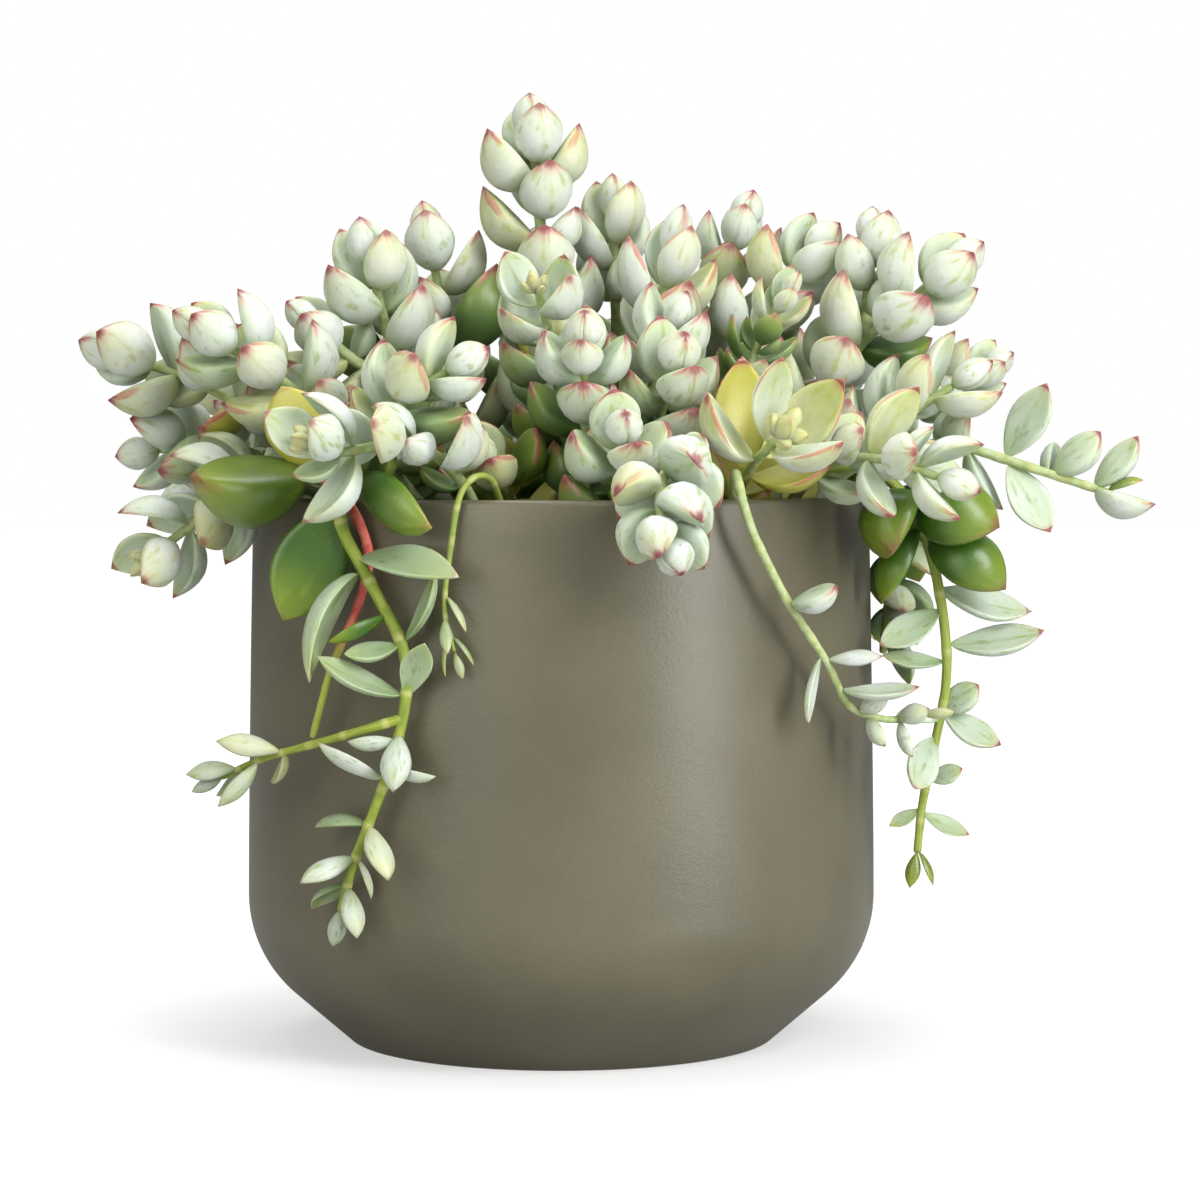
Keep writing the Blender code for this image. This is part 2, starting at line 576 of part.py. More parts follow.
def grow_leaves(stems):
    """Single leaves first, then the pairs of all stems, youngest first."""
    crown = Crown(stems)
    draws = [random.Random(f"{stem.name} {stem.growth.through[-1]}") for stem in stems]
    for stem in stems:
        for solo in stem.growth.solos:
            crown.place(stem.name, solo_leaf(stem, *solo))
    for level in range(1 + max(stem.growth.pairs for stem in stems)):
        for stem, draw in zip(stems, draws):
            if level <= stem.growth.pairs > 0:
                for half_turn in (0, 180)[:1 if level == 0 else 2]:
                    crown.place(stem.name, pair_leaf(stem, level, half_turn, draw))
    return crown


# Solids


def clear_scene():
    for obj in list(bpy.data.objects):
        bpy.data.objects.remove(obj)


def new_collection(name, parent=None):
    collection = bpy.data.collections.new(name)
    (parent or bpy.context.scene.collection).children.link(collection)
    return collection


def material(name):
    made = bpy.data.materials.get(name)
    if made is None:
        colour, roughness, metallic = MATERIALS[name]
        made = bpy.data.materials.new(name)
        made.use_nodes = True
        shader = made.node_tree.nodes["Principled BSDF"]
        shader.inputs["Base Color"].default_value = (*colour, 1)
        shader.inputs["Roughness"].default_value = roughness
        shader.inputs["Metallic"].default_value = metallic
    return made


def mesh_object(name, mesh, collection, finish):
    obj = bpy.data.objects.new(name, mesh)
    mesh.materials.clear()
    mesh.materials.append(material(finish))
    collection.objects.link(obj)
    return obj


def turned_solid(name, profile, sides, collection, finish):
    """A solid turned about Z from a profile that runs down its outer side."""
    mesh = bpy.data.meshes.new(name)
    points = [(radius, 0, z) for radius, z in profile]
    mesh.from_pydata(points, [(i, i + 1) for i in range(len(points) - 1)], [])
    obj = mesh_object(name, mesh, collection, finish)
    screw = obj.modifiers.new("Turn", "SCREW")
    screw.steps = screw.render_steps = sides
    screw.use_merge_vertices = True
    screw.merge_threshold = SEAM_WELD
    screw.use_smooth_shade = True
    return obj


def shoulder_height():
    """Where the pot's side leaves the shoulder's arc, so that the slope below ends at the foot."""
    drop = SHOULDER_RADIUS * math.sin(CHAMFER_ANGLE)
    bend = POT_RADIUS - SHOULDER_RADIUS * (1 - math.cos(CHAMFER_ANGLE))
    return drop + (bend - FOOT_RADIUS) / math.tan(CHAMFER_ANGLE)


def body_radius(z):
    """The outer radius of the pot's upright side, which draws in a little to the mouth."""
    share = max(0.0, (z - shoulder_height()) / (POT_HEIGHT - shoulder_height()))
    return POT_RADIUS - MOUTH_TAPER * share**TAPER_BEND


def side_profile(inset, top, steps, bends):
    """The pot's side from a height down to the end of its shoulder, moved in by an inset."""
    shoulder = shoulder_height()
    points = [(body_radius(z) - inset, z) for z in np.linspace(top, shoulder, steps)]
    centre = POT_RADIUS - SHOULDER_RADIUS
    reach = SHOULDER_RADIUS - inset
    for angle in np.linspace(0, CHAMFER_ANGLE, bends + 1)[1:]:
        points.append((centre + reach * math.cos(angle), shoulder - reach * math.sin(angle)))
    return points


def with_floor(profile, floor):
    """A side profile carried on down the slope to a floor's height."""
    radius, z = profile[-1]
    return [*profile, (radius - (z - floor) / math.tan(math.pi / 2 - CHAMFER_ANGLE), floor)]


def make_pot(collection):
    mouth = body_radius(POT_HEIGHT)
    inner = with_floor(side_profile(WALL, POT_HEIGHT - RIM_EDGE, 2, 2), FLOOR)[::-1]
    rim = [(mouth - WALL + RIM_EDGE, POT_HEIGHT), (mouth - RIM_EDGE, POT_HEIGHT),
           (mouth - RIM_EDGE * RIM_BULGE, POT_HEIGHT - RIM_EDGE * RIM_BULGE)]
    outer = with_floor(side_profile(0, POT_HEIGHT - RIM_EDGE, 3, 4), FOOT_EDGE)
    foot = [(FOOT_RADIUS, 0), (0, 0)]
    return turned_solid("pot", [(0, FLOOR), *inner, *rim, *outer, *foot], POT_SIDES, collection,
                        "ceramic")


def make_soil(stems, collection, cutters):
    """The soil, with a plain hole for each stem's foot."""
    side = with_floor(side_profile(WALL + FIT_GAP, SOIL_EDGE, 2, 2), FLOOR + FIT_GAP)
    middle = SOIL_MIDDLE
    top = [(0, soil_height(0.0)), (middle, soil_height(middle))]
    profile = [*top, *side, (0, FLOOR + FIT_GAP)]
    soil = turned_solid("soil", profile, POT_SIDES, collection, "soil")
    holes = new_collection("holes", cutters)
    for stem in stems:
        if stem.growth.foot is None:
            continue
        hole = bmesh.new()
        depth = 2 * ROOT_DEPTH
        radius = (stem.radius + HOLE_GAP) / math.cos(math.pi / HOLE_SIDES)
        bmesh.ops.create_cone(hole, cap_ends=True, segments=HOLE_SIDES, depth=depth,
                              radius1=radius, radius2=radius)
        bmesh.ops.translate(hole, verts=hole.verts,
                            vec=Vector(stem.bends[0]) + Vector((0, 0, depth / 2 - HOLE_GAP)))
        mesh = bpy.data.meshes.new(f"hole_{stem.name}")
        hole.to_mesh(mesh)
        hole.free()
        cutter = bpy.data.objects.new(mesh.name, mesh)
        cutter.hide_render = True
        cutter.display_type = "WIRE"
        holes.objects.link(cutter)
    cut = soil.modifiers.new("Holes", "BOOLEAN")
    cut.operation = "DIFFERENCE"
    cut.operand_type = "COLLECTION"
    cut.collection = holes
    return soil


def stem_mesh(stem):
    """The stem as a tube, closed at both ends."""
    curve = bpy.data.curves.new(stem.name, "CURVE")
    curve.dimensions = "3D"
    curve.bevel_depth = stem.radius
    curve.bevel_resolution = 1 if stem.growth.gap > OPEN_GAP else 0
    curve.use_fill_caps = True
    spline = curve.splines.new("POLY")
    spline.points.add(len(stem.bends) - 1)
    for point, bend, run in zip(spline.points, stem.bends, stem.bend_run):
        point.co = (*bend, 1)
        point.radius = stem.radius_at(run) / stem.radius
    tube = bpy.data.objects.new(stem.name, curve)
    bpy.context.scene.collection.objects.link(tube)
    evaluated = tube.evaluated_get(bpy.context.evaluated_depsgraph_get())
    mesh = bpy.data.meshes.new_from_object(evaluated)
    bpy.data.objects.remove(tube)
    welded = bmesh.new()
    welded.from_mesh(mesh)
    bmesh.ops.remove_doubles(welded, verts=welded.verts, dist=WELD)
    welded.to_mesh(mesh)
    welded.free()
    return mesh


def leaf_mesh(leaf):
    """A sphere drawn out to the leaf's shape, with one row of corners along its keel."""
    sides = SMALL_LEAF_SIDES if leaf.length < SMALL_LEAF else LEAF_SIDES
    rings = LARGE_LEAF_RINGS if leaf.length > LARGE_LEAF else LEAF_RINGS
    ball = bmesh.new()
    bmesh.ops.create_uvsphere(ball, u_segments=sides, v_segments=rings, radius=1)
    places = np.array([vert.co for vert in ball.verts])
    t = 1 - np.arccos(np.clip(places[:, 2], -1, 1)) / math.pi
    angle = np.arctan2(places[:, 1], places[:, 0]) - math.pi / 2
    for vert, point in zip(ball.verts, leaf.surface(t, np.cos(angle), np.sin(angle))):
        vert.co = point
    mesh = bpy.data.meshes.new("leaf")
    ball.to_mesh(mesh)
    ball.free()
    return mesh


def grown_together(name, core, meshes, collection, cutters):
    """One object: the core mesh with all the others joined to it by a union."""
    obj = mesh_object(name, core, collection, "foliage")
    if not meshes:
        return obj
    repeats = bpy.data.collections.new(f"{name}_repeats")
    cutters.children.link(repeats)
    for mesh in meshes:
        repeats.objects.link(bpy.data.objects.new(mesh.name, mesh))
    join = obj.modifiers.new("Join", "BOOLEAN")
    join.operation = "UNION"
    join.operand_type = "COLLECTION"
    join.collection = repeats
    evaluated = obj.evaluated_get(bpy.context.evaluated_depsgraph_get())
    joined = bpy.data.meshes.new_from_object(evaluated)
    obj.modifiers.clear()
    obj.data = joined
    joined.name = name
    for repeat in list(repeats.objects):
        bpy.data.objects.remove(repeat)
    bpy.data.collections.remove(repeats)
    joined.shade_smooth()
    joined.set_sharp_from_angle(angle=SHARP_ANGLE)
    return obj


def make_plant(stems, collection, cutters):
    crown = grow_leaves(stems)
    for name in STEMS:
        core, *twigs = [stem_mesh(stem) for stem in stems if stem.name == name]
        leaves = [leaf_mesh(leaf) for leaf, owner in zip(crown.leaves, crown.owners)
                  if owner == name]
        grown_together(name, core, twigs + leaves, collection, cutters)
    print(len(crown.leaves), "leaves")


def main():
    clear_scene()
    parts = new_collection("potted_cotyledon")
    cutters = new_collection("cutters")
    stems = plan_stems()
    make_pot(parts)
    make_soil(stems, parts, cutters)
    make_plant(stems, parts, cutters)


main()
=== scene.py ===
# %% [markdown]
# # A potted cotyledon
#
# The real thing is a trailing cotyledon, a succulent with plump, pointed leaves in pairs, in a
# plain matt ceramic pot. A white powder covers most of its leaves, and where hands or rain have
# rubbed it off the leaf is yellow green.
#
# The measured solids come packed, in metres, with the origin under the middle of the pot's foot,
# +Z up and -Y towards the viewer. They are few-sided on purpose. This file keeps their places and
# their forms and gives each one a finer piece with its real surface. The solids stay as they are
# for collision.

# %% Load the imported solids
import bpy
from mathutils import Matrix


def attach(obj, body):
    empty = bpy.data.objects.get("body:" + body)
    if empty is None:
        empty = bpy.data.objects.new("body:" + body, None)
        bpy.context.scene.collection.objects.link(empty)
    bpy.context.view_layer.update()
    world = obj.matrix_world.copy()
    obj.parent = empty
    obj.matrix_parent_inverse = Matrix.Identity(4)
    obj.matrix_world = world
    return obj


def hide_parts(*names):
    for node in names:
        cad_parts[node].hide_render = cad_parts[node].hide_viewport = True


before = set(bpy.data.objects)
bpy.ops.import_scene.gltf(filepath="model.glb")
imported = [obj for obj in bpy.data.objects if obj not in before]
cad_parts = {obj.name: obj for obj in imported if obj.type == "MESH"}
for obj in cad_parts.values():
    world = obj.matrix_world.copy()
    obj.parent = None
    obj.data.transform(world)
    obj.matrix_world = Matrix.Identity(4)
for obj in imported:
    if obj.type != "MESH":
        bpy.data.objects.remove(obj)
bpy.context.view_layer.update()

# %% The tools that every cell uses
import math
import random
from dataclasses import dataclass

import bmesh
import bpy
import numpy as np
from mathutils import Vector, noise

MM = 0.001
print("one millimetre is", MM, "of the metres that every place is given in")

# %% [markdown]
# ## Colours, and shader maths in Python
#
# A colour picked on a screen is in sRGB, and a shader works in linear light, so each colour goes
# through one conversion.
#
# A material could be wired node by node, but the maths in it is easier to read as an expression.
# One class stands for a node's output, and its operators add the Math nodes. Another one stands
# for the whole finish, and every other node comes from its one method: first the node's settings,
# then what its sockets take, which is a number, a colour or another node's output.

# %% Colours
def srgb(red, green, blue):
    """A screen colour, 0 to 255, as linear light."""
    return tuple((c / 255 / 12.92) if c < 10.3 else ((c / 255 + 0.055) / 1.055) ** 2.4
                 for c in (red, green, blue))


print("a middle grey of 128 is", round(srgb(128, 128, 128)[0], 3), "in linear light")


# %% Shader maths
class Value:
    """A node's output. Arithmetic on it adds Math nodes."""

    def __init__(self, finish, socket):
        self.finish = finish
        self.socket = socket

    def math(self, operation, first, second):
        return self.finish.node("ShaderNodeMath", {"operation": operation}, {0: first, 1: second})

    def __add__(self, other):
        return self.math("ADD", self, other)

    def __sub__(self, other):
        return self.math("SUBTRACT", self, other)

    def __rsub__(self, other):
        return self.math("SUBTRACT", other, self)

    def __mul__(self, other):
        return self.math("MULTIPLY", self, other)

    def __abs__(self):
        return self.math("ABSOLUTE", self, 0)

    __radd__ = __add__
    __rmul__ = __mul__

    def rise(self, low, high):
        """0 up to low, 1 from high on, and a smooth rise between. A low above high falls."""
        return self.finish.node("ShaderNodeMapRange", {"interpolation_type": "SMOOTHSTEP"},
                                {"Value": self, "From Min": low, "From Max": high})


print("shader maths is ready")


# %% Finishes
class Finish:
    """A material, made of the shader's own numbers and of nodes that this class adds."""

    def __init__(self, name, fixed):
        self.material = bpy.data.materials.new(name)
        self.material.use_nodes = True
        self.tree = self.material.node_tree
        self.shader = self.tree.nodes["Principled BSDF"]
        self.set(fixed)

    def set(self, sockets):
        """Numbers, colours or nodes for the shader's sockets."""
        for name, value in sockets.items():
            self.feed(self.shader.inputs[name], value)

    def feed(self, socket, value):
        if isinstance(value, Value):
            self.tree.links.new(value.socket, socket)
        elif socket.type == "RGBA":
            socket.default_value = (*value, 1)
        else:
            socket.default_value = value

    def node(self, kind, settings, sockets, out=0):
        """A new node: its settings first, then its sockets. Gives one of its outputs."""
        made = self.tree.nodes.new(kind)
        for name, value in settings.items():
            setattr(made, name, value)
        for name, value in sockets.items():
            self.feed(made.inputs[name], value)
        return Value(self, made.outputs[out])

    def mix(self, share, below, above):
        """Two colours, the second over the first by a share. 6, 7 and 2 are the colour sockets."""
        return self.node("ShaderNodeMix", {"data_type": "RGBA"},
                         {0: share, 6: below, 7: above}, out=2)

    def place(self):
        """Where a point is in the object, in metres."""
        return self.node("ShaderNodeTexCoord", {}, {}, out="Object")

    def noise(self, where, scale, detail=2):
        """Soft random patches, about 1 / scale across."""
        return self.node("ShaderNodeTexNoise", {}, {"Vector": where, "Scale": scale,
                                                    "Detail": detail})

    def split(self, vector):
        """A vector's three numbers."""
        return [self.node("ShaderNodeSeparateXYZ", {}, {0: vector}, out=axis) for axis in "XYZ"]

    def attribute(self, name):
        """The three numbers that a piece's corners carry under a name."""
        vector = self.node("ShaderNodeAttribute", {"attribute_name": name}, {}, out="Vector")
        return self.split(vector)

    def vector(self, x, y, z):
        return self.node("ShaderNodeCombineXYZ", {}, {0: x, 1: y, 2: z})

    def bump(self, height, distance):
        """Fine relief, as deep as the distance where the height goes from 0 to 1."""
        return self.node("ShaderNodeBump", {}, {"Height": height, "Distance": distance})


print("a finish can be mixed from colours, noises and bumps")

# %% [markdown]
# ## The camera and the light
#
# The photo was taken from a metre away, a little above the rim, with a long lens. Its place was
# worked out from the pot: the rim shows as a nearly straight line, and the foot as a flat curve.
#
# One large lamp would light the plant evenly and leave the pot dull. So there are four soft ones:
# a key from the upper right, a tall narrow one at the right that lays the long soft highlight on
# the pot, a slightly yellow fill from the left, and one overhead. A white room adds a little more.
# It looks white to the camera and lights the plant less than it looks, as a white wall behind a
# plant does. The pale floor glows, so that it goes over into the room without a line, and its glow
# is painted darker close round the foot, as the shadow where the pot keeps the light off it.

# %% Camera
CAMERA_PLACE = (0.0111, -1.013, 0.171)
CAMERA_TILT = math.radians(90 - 2.55)  # it looks down a little
CAMERA_LENS = 105.6

lens = bpy.data.cameras.new("camera")
lens.lens = CAMERA_LENS
camera = bpy.data.objects.new("camera", lens)
camera.location = CAMERA_PLACE
camera.rotation_euler = (CAMERA_TILT, 0, 0)
bpy.context.scene.collection.objects.link(camera)
bpy.context.scene.camera = camera
bpy.context.scene.view_settings.view_transform = "Standard"
print("camera", CAMERA_LENS, "mm, at", CAMERA_PLACE)


# %% Lights
def soft_light(name, place, aim, size, power, colour=(1, 1, 1)):
    """A lamp, as wide and high as its size, that faces a point."""
    lamp = bpy.data.lights.new(name, "AREA")
    lamp.shape = "RECTANGLE"
    lamp.size, lamp.size_y = size
    lamp.energy = power
    lamp.color = colour
    holder = bpy.data.objects.new(name, lamp)
    holder.location = place
    holder.rotation_euler = (Vector(aim) - Vector(place)).to_track_quat("-Z", "Y").to_euler()
    bpy.context.scene.collection.objects.link(holder)


CROWN_MIDDLE = (0, 0, 0.16)
soft_light("key", (0.62, -0.82, 0.82), CROWN_MIDDLE, (0.6, 0.6), 10.8)
soft_light("window", (0.86, -0.74, 0.26), CROWN_MIDDLE, (0.30, 0.8), 9.8)
soft_light("fill", (-0.62, -0.95, 0.50), CROWN_MIDDLE, (0.8, 0.8), 7.4, (1, 1, 0.92))
soft_light("top", (-0.1, 0.10, 1.1), CROWN_MIDDLE, (0.8, 0.8), 8.5)

ROOM_LIGHT = 0.20
room = bpy.data.worlds.new("room")
room.use_nodes = True
background = room.node_tree.nodes["Background"]
background.inputs["Color"].default_value = (1, 1, 1, 1)
ray = room.node_tree.nodes.new("ShaderNodeLightPath")
strength = room.node_tree.nodes.new("ShaderNodeMapRange")
strength.inputs["To Min"].default_value = ROOM_LIGHT
room.node_tree.links.new(ray.outputs["Is Camera Ray"], strength.inputs["Value"])
room.node_tree.links.new(strength.outputs[0], background.inputs["Strength"])
bpy.context.scene.world = room
print("4 lamps in a room of", ROOM_LIGHT)


# %% Floor
def keep(name, shape, finishes):
    """A bmesh as an object at the origin, with its materials."""
    mesh = bpy.data.meshes.new(name)
    shape.to_mesh(mesh)
    shape.free()
    for finish in finishes:
        mesh.materials.append(finish.material)
    piece = bpy.data.objects.new(name, mesh)
    bpy.context.scene.collection.objects.link(piece)
    return piece


FLOOR_REACH = 6  # from the middle to each side
NEAR_GLOW = 0.69  # the floor's glow near the pot against the glow far away
FOOT_SHADOW = 0.26  # how much of the glow is missing round the foot
UNSEEN_GLOW = 0.12  # how much of the glow reaches the plant

paper = Finish("white_paper", {"Base Color": (0.44, 0.44, 0.44), "Roughness": 0.9,
                               "Emission Color": (1, 1, 1)})
x, y, _ = paper.split(paper.place())
distance = x * x + y * y  # squared
away = distance.rise(0.02, 0.9)
# a painted shadow: the floor's glow is weaker close round the foot
painted_foot_shadow = distance.rise(0.028, 0.003)
seen = paper.node("ShaderNodeLightPath", {}, {}, out="Is Camera Ray")
glow = (NEAR_GLOW + (1 - NEAR_GLOW) * away) * (1 - FOOT_SHADOW * painted_foot_shadow)
paper.set({"Emission Strength": glow * (UNSEEN_GLOW + (1 - UNSEEN_GLOW) * seen)})
sheet = bmesh.new()
bmesh.ops.create_grid(sheet, x_segments=1, y_segments=1, size=FLOOR_REACH)
floor = keep("floor", sheet, [paper])
print("a floor", 2 * FLOOR_REACH, "m wide")

# %% [markdown]
# ## The pot
#
# The pot is one fired piece of matt stoneware, cast in a mould: an upright side that draws in a
# little to the mouth, a rounded shoulder, and a cone down to a small flat foot. It could be cut
# from a cylinder, but it is a turned form, so half of its outline is drawn once and spun about
# the axis. The rim and the foot get their soft edges afterwards, with a bevel, because a bevel is
# easier to judge than an arc in the outline.

# %% Pot outline
POT_HEIGHT = 0.156
POT_RADIUS = 0.090
FOOT_RADIUS = 0.0605
CHAMFER_ANGLE = math.radians(49)  # of the cone, off the upright
SHOULDER_RADIUS = 0.036
MOUTH_TAPER = 0.0018  # how much the side draws in
TAPER_BEND = 1.4  # above 1 it draws in mostly near the mouth
WALL = 0.0052
POT_FLOOR = 0.009
POT_STEPS = 128
HAIR = 0.00005  # two places closer than this count as one

# The shoulder's arc: how far it runs down, the pot's radius at its lower end, and the height of
# its upper end, from which the cone below the arc just meets the foot
SHOULDER_DROP = SHOULDER_RADIUS * math.sin(CHAMFER_ANGLE)
SHOULDER_END = POT_RADIUS - SHOULDER_RADIUS * (1 - math.cos(CHAMFER_ANGLE))
SHOULDER_TOP = SHOULDER_DROP + (SHOULDER_END - FOOT_RADIUS) / math.tan(CHAMFER_ANGLE)


def body_radius(z):
    """The outer radius of the pot's upright side, which draws in a little to the mouth."""
    share = max(0.0, (z - SHOULDER_TOP) / (POT_HEIGHT - SHOULDER_TOP))
    return POT_RADIUS - MOUTH_TAPER * share**TAPER_BEND


def side_profile(inset, top, floor, steps=12, bends=14):
    """The pot's side from a height down to a floor, moved in by an inset."""
    points = [(body_radius(z) - inset, z) for z in np.linspace(top, SHOULDER_TOP, steps)]
    reach = SHOULDER_RADIUS - inset
    for angle in np.linspace(0, CHAMFER_ANGLE, bends + 1)[1:]:
        points.append((POT_RADIUS - SHOULDER_RADIUS + reach * math.cos(angle),
                       SHOULDER_TOP - reach * math.sin(angle)))
    radius, z = points[-1]
    return [*points, (radius - (z - floor) * math.tan(CHAMFER_ANGLE), floor)]


print("the shoulder starts", round(SHOULDER_TOP / MM, 1), "mm up")


# %% Pot
SEAM = 0.00002  # corners closer than this are merged


def spun(profile, steps):
    """A closed solid from an outline that runs down its outer side, spun about the axis."""
    shape = bmesh.new()
    corners = [shape.verts.new((radius, 0, z)) for radius, z in profile]
    lines = [shape.edges.new(ends) for ends in zip(corners, corners[1:])]
    bmesh.ops.spin(shape, geom=[*corners, *lines], cent=(0, 0, 0), axis=(0, 0, 1),
                   angle=2 * math.pi, steps=steps, use_merge=True)
    bmesh.ops.remove_doubles(shape, verts=shape.verts, dist=SEAM)
    bmesh.ops.recalc_face_normals(shape, faces=shape.faces)
    return shape


def ring_at(shape, radius, z):
    """The ring of edges at a radius and a height."""
    def on_ring(vert):
        return abs(math.hypot(vert.co.x, vert.co.y) - radius) < HAIR and abs(vert.co.z - z) < HAIR
    return [edge for edge in shape.edges if all(on_ring(vert) for vert in edge.verts)]


MOUTH = body_radius(POT_HEIGHT)
RIM_SOFTNESS = 0.0016
FOOT_SOFTNESS = 0.0010
SOFT_SEGMENTS = 4

inner = side_profile(WALL, POT_HEIGHT, POT_FLOOR)[::-1]
outer = side_profile(0, POT_HEIGHT, 0)
pot_shape = spun([(0, POT_FLOOR), *inner, *outer, (0, 0)], POT_STEPS)
for radius, z, softness in ((MOUTH, POT_HEIGHT, RIM_SOFTNESS),
                            (MOUTH - WALL, POT_HEIGHT, RIM_SOFTNESS),
                            (outer[-1][0], 0, FOOT_SOFTNESS)):
    bmesh.ops.bevel(pot_shape, geom=ring_at(pot_shape, radius, z), affect="EDGES",
                    offset=softness, segments=SOFT_SEGMENTS, profile=0.5, material=-1)
print("pot,", len(pot_shape.faces), "faces")

# %% [markdown]
# ## The pot's finish
#
# It is a matt glaze in a warm grey green, with a very fine grain that only shows near, a broad
# soft shine and faint clouds where the glaze lies thicker. An even grey would look like plastic.
# So the colour takes two noises, a large one for the clouds and a fine one for the grain, the
# same grain goes into the bump, and the roughness varies a little with the clouds.

# %% Glaze
glaze = Finish("matt_glaze", {"Specular IOR Level": 0.5})
where = glaze.place()
clouds = glaze.noise(where, 26, 3)
grain = glaze.noise(where, 1500)
pits = glaze.noise(where, 520, 1)
body = glaze.mix(clouds.rise(0.3, 0.7), srgb(86, 82, 65), srgb(95, 91, 72))
body = glaze.mix(grain.rise(0.35, 0.75) * 0.22, body, srgb(74, 70, 52))
glaze.set({"Base Color": body, "Roughness": 0.35 + 0.08 * clouds,
           "Normal": glaze.bump(grain * 0.6 + pits * 0.4, 0.00009)})

pot = keep("matt_pot", pot_shape, [glaze])
pot.data.shade_smooth()
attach(pot, "root")
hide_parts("pot")
print("the pot is glazed")

# %% [markdown]
# ## The soil
#
# Under the leaves lies potting soil: dark peat crumbs with a few white grains. A flat disc would
# do from the front, but from above the gaps between the leaves show it. So the disc is spun like
# the pot, its top is made lumpy by a noise, and loose crumbs and grains lie half sunk in it. Each
# one is an icosphere of 20 faces, squeezed and turned at random from a fixed seed.

# %% Soil
SOIL_EDGE = 0.1405
SOIL_DOME = 0.004
FIT_GAP = 0.0003
SOIL_RINGS = 34
SOIL_STEPS = 110
LUMPS = ((140, 0.0011), (420, 0.0006))  # how fine and how high
CRUMBS = 260
WHITE_CRUMBS = 0.16  # their share
SMALLEST_CRUMB, LARGEST_WHITE, LARGEST_CRUMB = 0.0007, 0.0015, 0.0024
CRUMBS_OFF_WALL = 0.004
CRUMB_LIFT = 0.3  # of a crumb's size, by which its middle is above the soil


def soil_height(radius):
    """Height of the soil's surface at a distance from the pot's axis."""
    return SOIL_EDGE + SOIL_DOME * (1 - np.minimum(radius / (POT_RADIUS - WALL), 1) ** 2)


side = side_profile(WALL + FIT_GAP, SOIL_EDGE, POT_FLOOR + FIT_GAP, 3, 6)
top = [(radius, soil_height(radius)) for radius in np.linspace(0, side[0][0], SOIL_RINGS)[:-1]]
soil_shape = spun([*top, *side, (0, POT_FLOOR + FIT_GAP)], SOIL_STEPS)
kind = soil_shape.verts.layers.float_vector.new("crumb")
for vert in soil_shape.verts:
    if vert.co.z > SOIL_EDGE + HAIR:
        vert.co.z += sum(high * noise.noise(vert.co * fine) for fine, high in LUMPS)

draw = random.Random("crumbs")
for _ in range(CRUMBS):
    radius = (POT_RADIUS - WALL - CRUMBS_OFF_WALL) * math.sqrt(draw.random())
    angle = draw.uniform(0, 2 * math.pi)
    white = draw.random() < WHITE_CRUMBS
    size = draw.uniform(SMALLEST_CRUMB, LARGEST_WHITE if white else LARGEST_CRUMB)
    verts = bmesh.ops.create_icosphere(soil_shape, subdivisions=1, radius=size)["verts"]
    bmesh.ops.scale(soil_shape, verts=verts,
                    vec=(draw.uniform(0.7, 1.3), draw.uniform(0.6, 1.1), draw.uniform(0.5, 0.8)))
    bmesh.ops.translate(soil_shape, verts=verts,
                        vec=(radius * math.cos(angle), radius * math.sin(angle),
                             soil_height(radius) + size * CRUMB_LIFT))
    for vert in verts:
        vert[kind] = (1.0 if white else 0.0, draw.uniform(0.5, 1), 0)
print("soil,", len(soil_shape.faces), "faces")

# %% Soil's finish
peat = Finish("peat", {"Roughness": 0.95, "Specular IOR Level": 0.2})
white, _, _ = peat.attribute("crumb")
fibres = peat.noise(peat.place(), 900, 4)
damp = peat.noise(peat.place(), 60)
dark = peat.mix(fibres.rise(0.35, 0.7), srgb(28, 20, 14), srgb(84, 64, 46))
dark = peat.mix(damp.rise(0.4, 0.65) * 0.5, dark, srgb(34, 26, 18))
peat.set({"Base Color": peat.mix(white, dark, srgb(196, 190, 176)),
          "Normal": peat.bump(fibres, 0.0008)})

soil = keep("potting_soil", soil_shape, [peat])
soil.data.shade_smooth()
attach(soil, "root")
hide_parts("soil")
print(CRUMBS, "crumbs lie on the soil")

# %% [markdown]
# ## How the plant grows
#
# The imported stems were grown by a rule, and the same rule is repeated here with the same table
# and the same seeds, so that each finer leaf lies where its packed one does. Each stem is given
# by the points that it grows through. A bud closes its tip, and pairs of leaves follow below, each
# pair turned a quarter turn against the one above and opened wider. Where two leaves would meet,
# the later one is turned, closed or made smaller, and left out if nothing helps.

# %% What a stem is given by
@dataclass(frozen=True)
class Growth:
    """How one leafy stem grows, in millimetres and degrees, as a plant is measured."""

    foot: tuple  # x and y where it comes out of the soil, or None for a branch
    through: list  # the points that it grows through after that, the last one its tip
    leaf: float  # the length of its largest leaves
    pairs: int = 3  # pairs of leaves below the bud at its tip
    gap: float = 1.0  # the distance from pair to pair against a compact head's
    turn: float = 0  # how far the first pair is turned about the stem
    slim: float = 0.74  # a leaf's width as a share of its length
    spread: float = 66  # how wide the oldest pairs open
    lift: float = 0.25  # how strongly the leaves turn up to the light
    curl: float = 0.08  # how far a leaf's tip bends in, as a share of its length
    thick: float = 1.0  # the stem's thickness against the usual one
    solos: tuple = ()  # single leaves: each one's distance from the tip, direction, length and
    # slimness, and for some the way that the inner face looks, and the curl
    branches: tuple = ()  # each branch's distance from the tip, and its growth


print("a stem is given by", len(Growth.__dataclass_fields__), "things")

